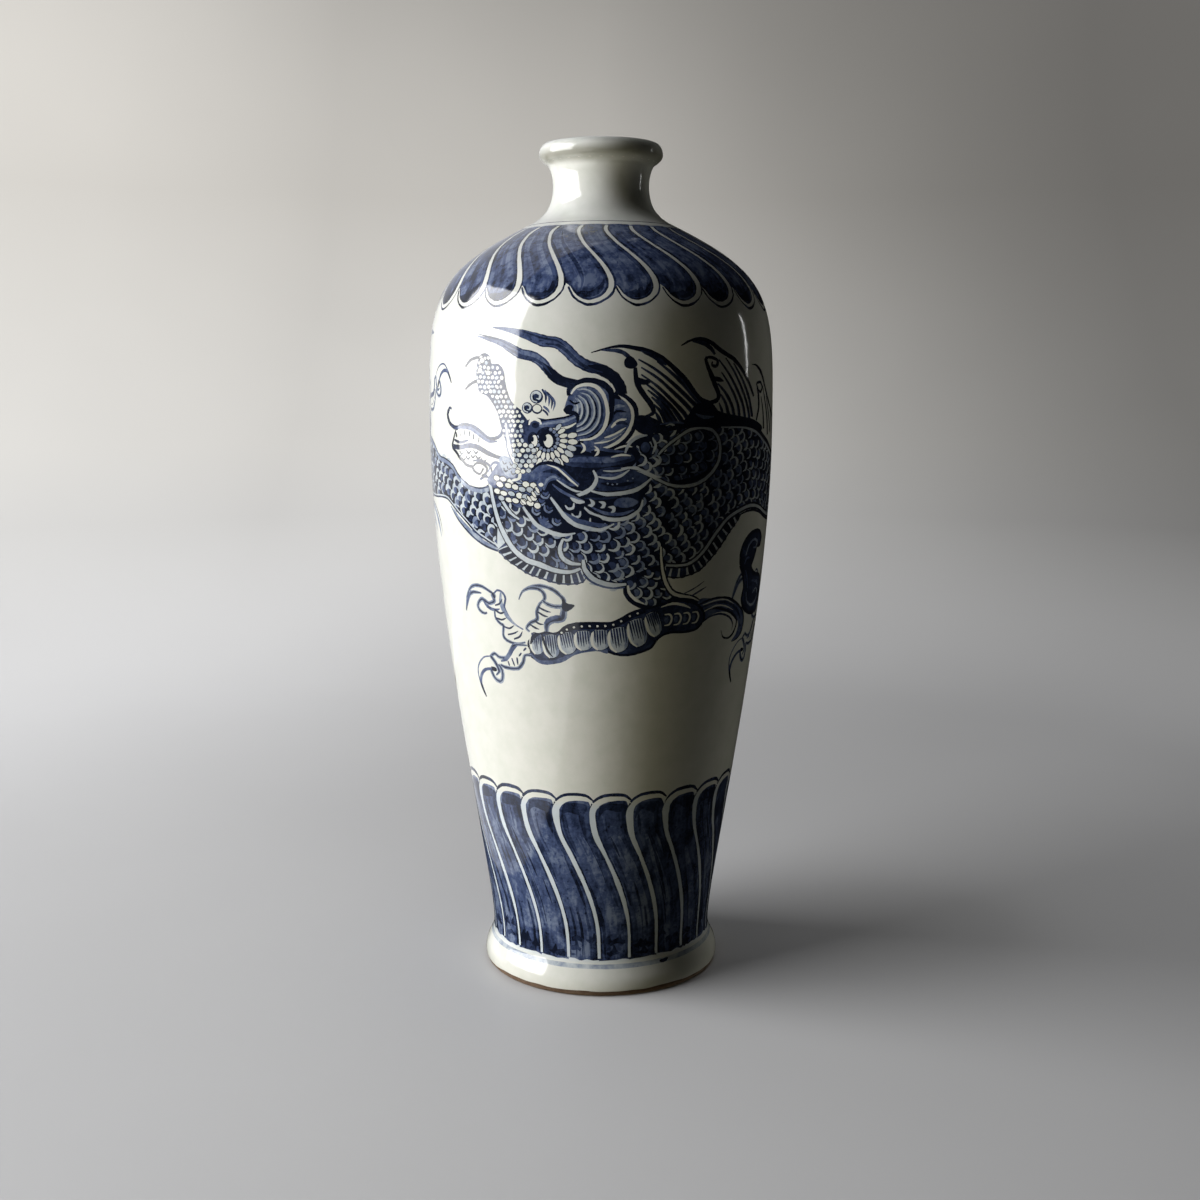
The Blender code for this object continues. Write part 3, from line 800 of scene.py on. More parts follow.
def third_toe():
    """Toe that points down."""
    toe = [(-25, 169), (-27, 168), (-28, 164), (-30, 161), (-33, 160.5), (-36, 160.5), (-38, 161),
           (-37.5, 157), (-38.5, 153.6), (-41, 154), (-42, 157), (-42, 159.4), (-40.5, 162.5), (-42, 165),
           (-40.5, 166.5), (-38, 165), (-35, 165.5), (-33, 169), (-31.5, 171.5), (-29, 172), (-26, 172)]
    patch(toe, WHITE)
    washed([(-24.6, 167.6), (-27, 167.4), (-28, 164), (-30, 161), (-33, 160.4), (-36, 160.6), (-38, 161.4)],
           1.1, DEEP, 0.7, 0.8)
    washed([(-26, 172.2), (-29, 172.2), (-31.5, 171.4), (-33, 168.6), (-35, 165.4), (-38, 165),
            (-40.4, 166.4), (-42.4, 164.6)], 1.1, DEEP, 0.5, 0.9)
    stroke([(-30, 171.6), (-32, 169.6), (-33.6, 166.8), (-35.4, 164.4), (-37.6, 163.2)], 2.2, MID, 0.3, 0.3)
    washed([(-42.4, 164.8), (-40.8, 162.8), (-39.6, 160.6), (-39, 158), (-40.6, 156)], 1.3, DEEP, 1, 0.4)
    washed([(-43, 159), (-42.2, 156), (-40.6, 153.8), (-38.5, 153.5), (-37.4, 156), (-37.6, 159.4),
            (-39, 161.4)], 1.2, DEEP, 0.9, 0.7)
    stroke([(-40, 158.6), (-42.8, 159)], 2.0, LINE, 0.5, 0.8)
    stroke([(-42.4, 164.8), (-46, 163.7), (-49, 160.5), (-50.6, 156.5), (-50.2, 151.5), (-48.7, 147.5),
            (-47.4, 144.6)], 0.9, MID, 0.6, 0.5)
    stroke([(-42.6, 158.8), (-46, 157.7), (-48.5, 155), (-49.6, 151), (-48.8, 148), (-47.4, 144.6)],
           1.8, MID, 0.7, 0.4)
    stroke([(-49.8, 151), (-48.9, 147.8), (-47.3, 144.2)], 1.2, LINE, 0.1, 0.7)
    creases([(-28.4, 168.4), (-29.6, 166.6)], [(-30.4, 166), (-30.2, 162.4)],
            [(-32.6, 165.4), (-31.6, 161.6)], [(-34.4, 163.8), (-33.8, 161.4)],
            [(-26.4, 171), (-27.6, 169.4)])


def claws():
    first_toe()
    second_toe()
    third_toe()


def tuft():
    """Hair at the elbow."""
    patch([(34, 192), (40, 192.4), (46, 192), (50, 190.5), (55, 187), (59, 183), (60.5, 178), (60, 173.5),
           (57, 170.5), (53, 170), (55.5, 173), (56.5, 177), (54.5, 181), (50, 184), (45, 185.4), (40, 184.4),
           (34, 180)], MID)
    for points, width, ink in (
            ([(34, 190), (40, 192.2), (46, 192), (50, 190.5), (55, 187), (59, 183), (60.5, 178), (60, 173.5),
              (57, 170.5), (53, 169.6)], 1.2, LINE),
            ([(34, 188), (40, 190), (46, 189.8), (51, 187.6), (55, 184), (57.6, 179.6), (57.4, 174.6)],
             1.3, DEEP),
            ([(34, 185), (38, 187.5), (43, 187.5), (48, 185.5), (52, 183), (55, 179.5), (54, 174.5),
              (51, 172), (47.5, 173), (46, 176.5)], 1.3, LINE),
            ([(36, 181.5), (40, 184), (45, 184.4), (50, 182), (52.5, 178.5), (52.4, 175.4)], 0.9, DEEP),
            ([(36, 186.4), (42, 188.6), (47, 187.8), (52, 185)], 0.7, WHITE),
            ([(36, 189.8), (42, 191.2), (47, 190.8), (52, 188)], 0.6, WHITE),
            ([(31, 194.6), (33, 195.8), (37, 198.2)], 0.8, DEEP),
            ([(28, 196), (32, 198), (36, 201)], 0.6, DEEP)):
        stroke(points, width, ink, 0.6, 0.3)


# Dragon: fins, horns, mane and head

def fin_ribs(runs, widths, edge):
    """Ribs of a fin, each with a dark edge along its lower side."""
    for run in runs:
        stroke(run, widths, DEEP)
        stroke(moved(run[1:], 0.4, -0.3), edge, LINE, 0.2, 0.9)


def first_fin():
    """Fin behind the horns."""
    patch([(-2.5, 302.5), (2, 304.5), (6, 305), (10, 304), (14, 303), (18, 300.5), (20, 298), (24, 294),
           (27, 290), (29.5, 285), (32, 282), (36, 280.5), (38, 272), (28, 270), (20, 268), (14, 270),
           (13, 275), (15.5, 276.5), (15, 280), (13, 284), (11, 288), (10, 293), (9, 300.5), (5, 302.5),
           (2, 303.5)], WHITE)
    fin_ribs(([(11.2, 299.4), (16, 295.6), (21, 290.4), (26, 284.4), (30, 279.4), (33, 275)],
              [(12, 296), (17, 291.6), (22, 285.6), (26.8, 279.6), (30, 274.6)],
              [(12, 293), (17, 288), (22, 281.6), (26, 276), (28, 272)],
              [(13, 289.6), (17, 285.2), (21.4, 279.4), (24.6, 274), (26, 270.6)],
              [(14, 286.4), (17.6, 282.4), (21, 277.2), (23.4, 272)],
              [(15.2, 283.4), (18.4, 279.4), (20.8, 274.6), (22, 270.4)],
              [(16, 280.2), (18.4, 276.6), (20, 271.8)], [(16.4, 277), (17.6, 274.2), (18.2, 270.8)],
              [(17, 298.6), (22, 293.2), (27, 286.8), (31, 281), (34, 277)],
              [(21, 296.6), (25, 291.4), (29, 285), (33, 280)]), (0.7, 1.4, 1.9, 2.2, 2.2), 1.0)
    stroke([(-3, 302.2), (2, 304.2), (6, 305), (10, 304.2), (14, 303), (18, 300.5), (21, 297.4), (24, 294),
            (27, 290), (29.5, 285.4), (32, 282.2), (36, 280.5)], 2.0, LINE, 0.2, 0.8)
    stroke([(12, 303), (16, 300.6), (20, 297)], 1.8, DEEP, 0.2, 0.4)
    stroke([(0, 303.2), (5, 303), (8, 300.8), (9.6, 297)], 1.7, DEEP, 0.2, 0.8)
    patch([(7, 299.2), (9, 300.8), (11, 297.4), (9.4, 295.4), (7.2, 296.2)], LINE, 3)
    stroke([(10.2, 296), (10.4, 292), (11.2, 288), (13, 284), (15.2, 280), (15.8, 276.6), (13.2, 275)],
           2.6, LINE, 0.6, 0.4)
    patch([(10, 292), (12, 291.4), (15, 290), (13.6, 288.6), (11, 289)], LINE, 3)


def second_fin():
    """Fin over the shoulder."""
    patch([(25, 305.5), (28, 307.5), (32, 308.3), (36, 306.5), (38, 304.5), (42, 302), (46, 299.5), (50, 295),
           (54, 289), (58, 282), (58, 270), (44, 269), (36, 272), (34, 280.5), (38, 281.5), (38.8, 284),
           (37.5, 288), (36, 292), (35, 295.5), (33.5, 299.5), (37, 303), (31, 307)], WHITE)
    fin_ribs(([(39, 299.4), (43, 293.8), (47, 286.8), (50.4, 279.4), (52, 272)],
              [(40, 294), (44, 287.6), (47.4, 280.4), (49, 272)],
              [(38.4, 289), (42, 284.6), (45, 278.6), (46.4, 272)], [(39.4, 284.6), (42, 280), (43.6, 273.4)],
              [(42, 300.2), (46, 294), (50, 286.2), (53.4, 277.6), (54.4, 271)],
              [(45.6, 298), (50, 290.8), (54, 282.2), (56, 274)], [(39, 280.6), (40.4, 276.6), (41, 272.6)]),
             (0.7, 1.5, 2.0, 2.2), 1.1)
    stroke([(25, 305.3), (28, 307.4), (32, 308.3), (36, 306.8), (39, 304.2), (42, 302), (46, 299.5),
            (50, 295), (54, 289), (57, 283)], 2.0, LINE, 0.2, 0.8)
    stroke([(29, 307), (33, 306.4), (36, 304.2), (37.4, 301.6)], 2.0, DEEP, 0.2, 0.6)
    stroke([(33.6, 300), (36, 300.4), (38.4, 299), (38, 296.6), (36.2, 297), (36.4, 298.6)],
           1.6, LINE, 0.8, 0.4)
    stroke([(33.6, 300), (34.6, 296), (36, 292.4), (37.4, 288.4), (38.8, 284.4), (38, 281.6), (34, 280.6)],
           2.4, LINE, 0.6, 0.5)
    stroke([(35.6, 291), (38, 291), (41, 290)], 2.0, LINE, 0.8, 0.2)


def third_fin():
    """Fin at the right edge of the front."""
    patch([(56.5, 297.2), (61, 295.5), (64, 291.5), (66, 287), (70, 281), (76, 275), (84, 268), (84, 258),
           (70, 262), (58, 268), (60, 278), (60.6, 284), (58, 288), (60, 293)], WHITE)
    for run in ([(64, 288), (66.4, 281), (69, 273), (70, 265)], [(62.6, 283), (64.6, 276), (65.4, 268)],
                [(67.6, 283), (71, 275), (74, 266)], [(73, 278), (76, 271), (79, 263)]):
        stroke(run, (0.7, 1.5, 2.0, 2.2), LINE)
    stroke([(56, 297.4), (59, 297), (62, 294.6), (64.4, 291), (66.4, 287), (70, 281.4), (76, 275.4),
            (84, 269)], 1.9, LINE, 0.2, 0.8)
    stroke([(59, 289), (62, 289.4), (63.6, 287), (62, 285), (60.4, 286)], 1.4, LINE, 0.7, 0.4)
    stroke([(59, 289), (60.4, 284), (60.8, 278), (59, 272)], 2.0, LINE, 0.6, 0.7)


def fin_ridge():
    """Ridge that the fins stand on."""
    patch([(10, 275), (14, 275.4), (20, 272), (26, 273.4), (30, 280), (36, 280.6), (39, 277), (46, 275),
           (56, 273), (64, 269), (60, 266), (50, 269), (40, 270), (30, 270), (22, 267.6), (14, 267),
           (10, 270)], LINE)
    stroke([(18, 271.6), (24, 272.4), (27, 270.6)], 1.0, MID, 0.3, 0.3)
    stroke([(30, 276), (33, 274.4), (37, 274.6)], 1.4, MID, 0.3, 0.3)


def fins():
    first_fin()
    second_fin()
    third_fin()
    fin_ridge()


def horns():
    """Two horns swept to the left."""
    for run, width in (
            ([(6.2, 284.4), (5.6, 288), (3.6, 292), (0, 295), (-4, 296.6), (-7.5, 299.4), (-10.5, 303.6),
              (-13.5, 306.4), (-17.5, 307.2), (-21.5, 309), (-26, 310.9), (-31, 312.4), (-36, 313.4)], 4.6),
            ([(-6, 288.6), (-10, 289.4), (-13, 291), (-15.5, 294), (-18, 298), (-21, 300.6), (-25, 301.8),
              (-28, 303.8), (-32, 306.6), (-37, 308.2), (-42, 309.6)], 4.2)):
        stroke(run, width + 0.5, DEEP, 0.8, 0.1)
        stroke(run[2:], width - 0.6, MID, 0.3, 0.1)
        stroke(run[:5], width, LINE, 0.9, 0.15)
        stroke(moved(run[3:9], 0.5, -1.1), 1.5, DEEP, 0.2, 0.2)
        stroke(moved(run[6:11], 0, 1.0), 1.0, DEEP, 0.2, 0.2)


def mane_ground():
    """Dark hair behind the jaw."""
    patch([(-24, 246), (-22, 254), (-13, 257), (-9, 263), (-3, 266), (4, 264), (9, 263), (12, 258), (9, 252),
           (15, 248), (13, 240), (12, 234), (6, 229.6), (0, 228.6), (-8, 224), (-16, 224.5), (-22, 229),
           (-26, 236)], LINE)


def mane_lobe():
    """Lobe behind the fan."""
    lobe = [(2, 285), (4, 285.4), (7, 283.5), (9.5, 280), (10.3, 275), (9, 269), (6, 264), (2, 261),
            (-3, 259.6), (-6, 263), (0, 272), (2, 279)]
    patch(lobe, MID)
    stroke(lobe[1:9], 3.2, LINE, 0.5, 0.5)
    stroke([(5, 284), (7.6, 281.6), (9.2, 278), (9.4, 273.6), (8, 268.6), (5.4, 264.6), (2, 262),
            (-2, 260.6)], 1.4, WHITE, 0.4, 0.5)
    for run, width, ink in (
            ([(3, 270.4), (5, 273), (7.6, 274)], 1.4, WHITE),
            ([(4.4, 272), (6.4, 272.6), (8, 271.6)], 1.6, DEEP),
            ([(1, 266), (4, 267.4), (7.4, 270.4)], 0.9, WHITE),
            ([(-2, 263.6), (2, 264.6), (6, 267.6)], 0.8, WHITE),
            ([(0, 264.6), (3.4, 266), (7, 269)], 1.2, PALE),
            ([(3, 277), (4.6, 279.4), (7, 279.6)], 1.4, PALE),
            ([(2.6, 283), (4.4, 283.6), (6, 282.4)], 1.8, LINE),
            ([(3.4, 275), (4.6, 277.4), (7.6, 277)], 1.0, LINE),
            ([(2.6, 272), (3.4, 275), (3, 278)], 1.2, DEEP)):
        stroke(run, width, ink, 0.5, 0.3)


def mane_fan():
    """Curled fan behind the brow."""
    fan = [(-11, 277.6), (-9.8, 284), (-9.5, 287), (-6, 290), (-2, 290.3), (1, 288.5), (3, 285), (3, 279),
           (2, 272.6), (-1, 267.5), (-4, 265.2), (-9, 265), (-14, 268), (-9, 271), (-7.6, 274)]
    patch(fan, MID)
    stroke(fan[1:11], 2.4, LINE, 0.5, 0.5)
    stroke([(-9, 284.7), (-7.6, 287.4), (-4.9, 288.7), (-1.7, 288), (0.5, 284.8), (1.6, 280.3), (1.9, 275.7),
            (1, 270.6), (-0.8, 267.3), (-3.1, 265.5), (-6.4, 265)], 1.5, WHITE, 0.5, 0.4)
    for run in ([(-6.7, 286.4), (-4.4, 286.7), (-2.2, 284.8), (-0.6, 280.9), (-0.4, 275.7), (-1.5, 271.2),
                 (-4, 268), (-7.4, 266.7)],
                [(-5.8, 285.1), (-3.8, 284.1), (-2.4, 280.9), (-2, 276.4), (-3.1, 272.5), (-5.3, 269.6),
                 (-8.4, 268.3)],
                [(-6.7, 284.1), (-4.9, 282.2), (-4, 279), (-4.2, 275.1), (-5.8, 271.8), (-8.4, 270.2)],
                [(-7.1, 282.8), (-6, 280.9), (-5.6, 277.7), (-6.2, 274.4), (-7.6, 272.5)],
                [(-7.7, 281.5), (-7, 279), (-7.2, 276)]):
        stroke(moved(run, -0.6, 0.2), 1.3, PALE, 0.2, 0.3)
        stroke(moved(run[1:], 0.7, -0.3), 1.0, DEEP, 0.4, 0.3)
        stroke(run, 0.75, HINT, 0.2, 0.4)
    stroke([(-9.4, 282), (-8, 280.6), (-6.4, 281.2)], 1.0, LINE, 0.8, 0.4)
    patch([(-11.4, 277.8), (-10, 280), (-8.4, 279.6), (-8.8, 277.4), (-10, 276)], LINE, 3)
    stroke([(-10.6, 276.6), (-8.4, 276.8), (-7, 275), (-7.6, 272.6), (-9.4, 271)], 1.8, LINE, 0.6, 0.5)
    stroke([(-9.4, 275.6), (-8.2, 274.4), (-8.8, 272.8)], 1.4, PALE, 0.5, 0.5)


def mane_streaks():
    """Streaks below the fan."""
    patch([(-13, 256), (-8, 258.4), (0, 258), (8, 259.4), (10, 256.4), (4, 254), (-4, 253), (-9, 253.6)],
          DEEP)
    stroke([(-12, 255.8), (-6, 256.6), (2, 256.4), (9, 257.6)], 2.4, MID, 0.2, 0.3)
    stroke([(-8, 262.6), (-3, 262.4), (2, 260.6), (7, 260)], 1.4, MID, 0.2, 0.3)
    for x, y in ((-5.6, 261.6), (-1.5, 260.2)):
        patch(local([(-1.4, 2.2), (0.6, 1.6), (1.5, 0.2), (1.1, -1.4), (-0.4, -2.3), (0.2, -0.9), (0.3, 0.3),
                     (-0.4, 1.3)], (x, y), -10), WHITE, 3)
    for run in ([(3, 257.6), (6, 258.6), (9, 258.2)], [(4, 261), (7, 262.4), (9.4, 262)]):
        stroke(run, 0.9, WHITE, 0.3, 0.3)


def mane_locks():
    """Locks under the streaks."""
    patch([(-10, 252.6), (-6, 253.4), (-2.6, 251), (-1.6, 247.6), (-3.6, 243), (-7, 241), (-10, 242.6),
           (-8, 247)], LINE)
    patch([(-1, 252), (4, 253.4), (9, 252.4), (14, 249), (12, 245), (4, 243.2), (-2, 243.6), (-1.6, 248)],
          DEEP)
    for run, width, ink in (
            ([(0, 249.6), (4, 249.4), (7, 251)], 2.2, MID),
            ([(0, 246.4), (5, 245.6), (10, 246.6)], 1.6, LINE),
            ([(-2.4, 252), (-1.4, 248.4), (-2.8, 244.4), (-6, 241.6), (-9, 240.6)], 1.7, HINT),
            ([(-1, 249.2), (3, 248.4), (6, 249.6), (8.6, 252.2)], 1.2, HINT),
            ([(0.6, 251.8), (4, 251.6), (8, 252.6)], 0.9, HINT),
            ([(-3, 243), (2, 241.5), (8, 242.4), (12, 244.4), (15.4, 248.4)], 1.9, HINT),
            ([(6, 252.8), (10, 253), (14, 250.8), (18, 248.4)], 1.2, HINT)):
        stroke(run, width, ink, 0.4, 0.4)
    for x, y in ((2, 246.2), (3.4, 245.8), (4.8, 246), (8, 247.4), (9.6, 248.4)):
        ball((x, y), 0.9, 0.8, PALE)
    patch([(-6, 240.6), (0, 240.6), (8, 241), (12.6, 240), (12.6, 236.6), (9, 233.6), (2, 232.6),
           (-3, 234.6)], LINE)
    patch([(5, 239.6), (9, 240), (11.4, 237.8), (8, 235.6), (4, 236.6)], MID)
    for run, width, ink in (
            ([(-6, 236.8), (-3, 233.2), (1, 231), (5, 230.4), (9, 231.6), (12, 235), (12.8, 239)], 1.9, HINT),
            ([(-3, 236), (1, 233.4), (6, 232.8), (10, 234.6)], 1.5, MID),
            ([(-5, 239.8), (0, 239.6), (5, 240.2)], 1.0, DEEP)):
        stroke(run, width, ink, 0.4, 0.4)
    for x, y, tilt in ((0.4, 237, 10), (-3, 237.6, -20), (3.4, 235, 20)):
        patch(local([(-1.5, 1.6), (0.8, 1.4), (1.6, 0), (0.6, -1.5), (-1.2, -1.2), (0, 0)], (x, y), tilt),
              HINT, 3)
    patch([(-15, 240), (-9, 240.4), (-5, 239), (-5, 234), (0, 231), (0, 227.4), (-8, 229), (-13, 235)], LINE)
    for x, y in ((-7.6, 233), (-9.6, 236.6), (-4.6, 230)):
        stroke(local([(-2, 0.4), (-1, -1.3), (1.2, -1.3), (2, 0.8)], (x, y), 10), 1.0, HINT, 0.5, 0.5, 3)
    stroke([(-12, 234), (-8, 230.4), (-3, 228.4), (2, 228)], 2.0, MID, 0.2, 0.4)
    stroke([(-15.6, 240), (-13.5, 236), (-11, 231.4), (-8, 228.2), (-4, 226.6), (0, 226), (4, 228.6)],
           2.0, HINT, 0.5, 0.3)
    for x, y, tilt in ((-19, 237.6, -20), (-20.6, 233.4, -25), (-16.6, 234.6, -25), (-18, 229.8, -25),
                       (-14, 229, -20), (-21.4, 239, -10), (-17.4, 240.6, 0)):
        stroke(local([(-2, 1.2), (-1.2, -0.6), (1, -0.9), (2.2, 0.8)], (x, y), tilt), 0.9, PALE, 0.5, 0.4, 3)
        stroke(local([(-1, 1.4), (0.4, 0.6), (1.6, 1.8)], (x, y), tilt), 1.2, MID, 0.5, 0.4, 3)
    patch([(-20, 231), (-17, 229.4), (-15, 227), (-18, 226.4)], MID, 3)
    stroke([(-24.8, 235.4), (-22.5, 231), (-20, 227.2), (-16, 224.6), (-12, 223.4), (-8, 224.4)],
           2.0, HINT, 0.5, 0.3)


def mane_curls():
    """Curls on the shoulder."""
    stroke([(7.2, 259.4), (8.4, 263.5), (11, 266.3), (14, 267)], 1.6, FAINT, 0.5, 0.3)
    ball((13.4, 261.6), 5.6, 6.0, LINE)
    ball((13.4, 261.8), 4.2, 4.6, MID)
    stroke([(15.6, 266), (16.6, 262.6), (15.6, 259)], 1.2, FAINT, 0.4, 0.4)
    stroke([(15.8, 257.4), (17.2, 256), (16.6, 254), (15, 253.4)], 1.4, FAINT, 0.4, 0.4)


def mane():
    mane_ground()
    mane_lobe()
    mane_fan()
    mane_streaks()
    mane_locks()
    mane_curls()


def collar():
    """Long lines from the cheek down over the chest, with the belly plates below."""
    line = [(-37, 247), (-36, 238), (-34, 228), (-31, 220), (-28, 215), (-24, 211.5), (-20, 210),
            (-15, 207.6), (-10, 207), (-6.6, 208.6)]
    under = [(-35, 215.5), (-32, 211.5), (-28, 208.5), (-24, 205.5), (-20, 204), (-15, 202), (-10, 201.5),
             (-6, 202.5), (-4.6, 205.4)]
    patch(line[2:] + under[::-1], HINT)
    plates(line[3:], under, 13, 0.9)
    stroke(under, 0.8, DEEP, 0.7, 0.7)
    for run, width in ((line, 2.2),
                       ([(-34.6, 246), (-33.5, 241), (-31.5, 236), (-29, 232), (-26.3, 229.8)], 1.5),
                       ([(-12, 221.4), (-13, 217.4), (-12.2, 213.4), (-9.6, 211), (-6.4, 210.6)], 2.0),
                       ([(-5.6, 212.6), (-5.2, 208.6), (-3, 204.6), (0, 202.4), (4, 201.2), (8, 201.6)],
                        2.0)):
        stroke(run, width + 1.3, LINE, 0.6, 0.6)
        stroke(run, width, HINT, 0.6, 0.5)
    stroke([(-5.8, 206), (-3.4, 203), (0, 200.8), (4, 199.8), (7.6, 200.2)], 1.0, MID, 0.6, 0.6)


SNOUT_RIGHT = -24.5
CURL = ((0.05, -0.36), (-0.3, -0.2), (-0.3, 0.18), (0.0, 0.32), (0.28, 0.14), (0.2, -0.14), (0.0, -0.1))


def lower_jaw():
    """Lower jaw and tongue."""
    jaw = [(-55, 277.5), (-56.5, 277.8), (-57.8, 275), (-57, 272), (-55, 270), (-52, 269), (-49, 270.5),
           (-45, 270.3), (-42, 269), (-39, 266.5), (-37, 265), (-34, 265.2), (-32, 267), (-31, 271),
           (-29, 268), (-27, 250), (-33, 244), (-39, 247), (-41, 249), (-43.5, 250), (-44.5, 252),
           (-47, 252.5), (-50, 255), (-52, 257.5)]
    patch(jaw, WHITE)
    stroke(jaw[:14], 1.9, DEEP, 0.5, 0.7)
    stroke([(-56.4, 277.2), (-57.6, 274.6), (-56, 271)], 1.6, DEEP, 0.6, 0.4)
    stroke([(-54, 268.4), (-49, 269.4), (-45, 269), (-41, 266.6), (-37, 263.8), (-33.6, 263.8)],
           1.8, MID, 0.4, 0.4)
    stroke([(-52.4, 268.6), (-54, 264), (-54.8, 260.4), (-52, 257.4), (-50, 255), (-47, 252.5), (-44.5, 252),
            (-43.4, 250), (-41, 249), (-39.4, 251.6)], 1.4, LINE, 0.5, 0.6)
    stroke([(-54.4, 260.6), (-50, 260.4), (-46, 261.4), (-42, 261), (-38, 258.8), (-34, 257), (-31, 256.6)],
           2.2, DEEP, 0.9, 0.4)
    stroke([(-53.6, 263.6), (-50, 262.6), (-46, 263.8)], 1.3, DEEP, 0.6, 0.4)
    for run in ([(-52.6, 267), (-52, 264.6)], [(-50.4, 268), (-50, 265)], [(-48, 268.4), (-47.6, 265.4)],
                [(-45.4, 267.8), (-45.4, 265.2)], [(-43.4, 266.6), (-43.6, 264)],
                [(-41, 265.2), (-41.2, 262.8)]):
        stroke(run, 1.1, LINE, 0.9, 0.3, 3)
    for x, y in ((-51, 256.8), (-48.6, 255.6), (-46.4, 256.2), (-44, 257), (-41.6, 256.6), (-39.2, 255.4),
                 (-49.6, 258.2), (-46, 258.8), (-42.6, 259)):
        stroke(local([(-1.6, 0.5), (0, -0.9), (1.7, 0.4)], (x, y), -6), 1.0, LINE, 0.7, 0.5, 3)
    stroke([(-44.6, 251.4), (-42.6, 253.6), (-40, 253.8), (-38, 252), (-38.4, 249.4), (-40.4, 248.2)],
           1.4, LINE, 0.6, 0.6)
    stroke([(-44, 254.6), (-40, 255), (-36.6, 252.6), (-35.6, 248.4)], 1.3, DEEP, 0.5, 0.5)
    stroke([(-41, 246.4), (-39, 248.2), (-37.4, 247.6)], 1.6, DEEP, 0.6, 0.4)


def cheek():
    """Cheek with its net of beads."""
    patch([(-38, 246), (-36, 250), (-33, 254.6), (-30, 256), (-27, 251), (-25, 255), (-21, 254), (-18, 246),
           (-20, 240), (-26, 235), (-30, 238), (-34, 242)], MID)
    for row in range(4):
        for column in range(6):
            x = -34 + 2.6 * column + 1.3 * (row % 2) + rng.uniform(-0.3, 0.3)
            y = 247.6 - 2.9 * row - 0.5 * column + rng.uniform(-0.4, 0.4)
            wide, high = rng.uniform(2.9, 3.7), rng.uniform(2.1, 2.7)
            ball((x, y), wide + 1.0, high + 0.9, LINE, -12)
            ball((x, y), wide, high, rng.choice((WHITE, WHITE, FAINT)), -12)
    for x, y, tilt in ((-22.6, 239, -50), (-21, 241, -55), (-19.8, 243, -60), (-24.6, 237.6, -40)):
        bead((x, y), 3.3, 1.3, WHITE, 0.7, tilt)
    stroke([(-37.6, 250), (-35, 254.4), (-31, 252.6), (-28.6, 247.6), (-24.6, 246)], 1.2, MID, 0.4, 0.4)
    patch([(-33, 256.4), (-30, 257.4), (-27.4, 255), (-26.4, 250.6), (-28.6, 248), (-31.6, 250.4)], PALE)
    for x, y in ((-31, 254.6), (-29.4, 252.4), (-28, 250.2), (-30.6, 251.4), (-28.4, 254.2)):
        stroke(local([(-1.2, 0.4), (0, -0.7), (1.3, 0.4)], (x, y), -20), 0.7, LINE, 0.7, 0.5, 3)


def upper_jaw():
    """Upper jaw with its net, and the groove behind it."""
    snout = [(-25, 277), (-28, 280), (-30, 285), (-31, 290), (-31.5, 294), (-33, 296.5), (-36, 297),
             (-37, 300.5), (-39, 301.5), (-41, 300), (-42, 296), (-42, 290.5), (-41, 287), (-40, 285.5),
             (-37, 284), (-35, 281), (-33, 277), (-32, 273), (-31, 268), (-29.5, 262), (-28, 256.5),
             (-25.7, 250.5), (-22, 254), (-18, 258), (-19, 266), (-22, 272)]
    patch(snout, DEEP)
    stroke(snout[:10], 1.6, DEEP, 0.7, 0.8)
    stroke(snout[12:21], 1.6, DEEP, 0.8, 0.6)
    stroke([(-47.2, 296.2), (-45, 299), (-42, 300.3), (-39, 300.4)], 1.6, LINE, 0.8, 0.3)
    stroke([(-47.2, 286.2), (-45, 288.4), (-42, 290), (-39, 290)], 1.6, LINE, 0.8, 0.3)
    for row in range(22):
        for column in range(12):
            x = -42.6 + 1.65 * (column + 0.5 * (row % 2)) + rng.uniform(-0.2, 0.2)
            y = 256 + 2.1 * row + rng.uniform(-0.25, 0.25)
            if within((x, y), snout) and x < SNOUT_RIGHT:
                wide, high = rng.uniform(1.4, 2.2), rng.uniform(1.2, 1.9)
                ball((x, y), wide, high, rng.choice((WHITE, WHITE, WHITE, FAINT)), rng.uniform(-40, 40))
    for spot in ((-39.6, 299), (-40.4, 294.6), (-37, 293.6)):
        ball(spot, 3.4, 3.0, LINE)
        ball(spot, 2.6, 2.2, WHITE)
    groove = [(-30.4, 272), (-29.7, 266), (-29, 260.4), (-27.4, 255.4), (-25.7, 250.8), (-26, 247.8),
              (-28.4, 246.8)]
    stroke(groove, 2.9, MID, 0.4, 0.5)
    stroke(groove, 1.6, WHITE, 0.4, 0.5)


def nostrils():
    """Nostril curls with their tufts."""
    for (x, y), size in (((-22.8, 278.6), 5.2), ((-19.8, 283.4), 6.2)):
        ball((x, y), size, 0.96 * size, DEEP)
        stroke(local(CURL, (x, y), 0, size), 0.17 * size, HINT, 0.5, 0.3)
        stroke(local(CURL[:3], (x + 0.3, y + 0.4), 0, size), 0.12 * size, LINE, 0.4, 0.3)
    ball((-19.6, 278.2), 5.0, 4.4, DEEP)
    ball((-19.6, 278.4), 3.8, 3.2, WHITE)
    for run, ink in (([(-18, 286.7), (-16.8, 284.1), (-16.9, 280.8)], DEEP),
                     ([(-17.2, 286.2), (-15.7, 283.3), (-15.9, 279.4)], MID),
                     ([(-16.4, 285.4), (-14.8, 282.4), (-15.1, 278.2)], DEEP),
                     ([(-15.6, 284.4), (-14, 281.2), (-14.6, 277.3)], MID),
                     ([(-17.8, 277.9), (-16.6, 276.6), (-16.1, 275.2)], DEEP),
                     ([(-17.6, 279.4), (-16.4, 278.2), (-15.7, 276.6)], MID)):
        stroke(run, 1.0, ink, 0.8, 0.15)


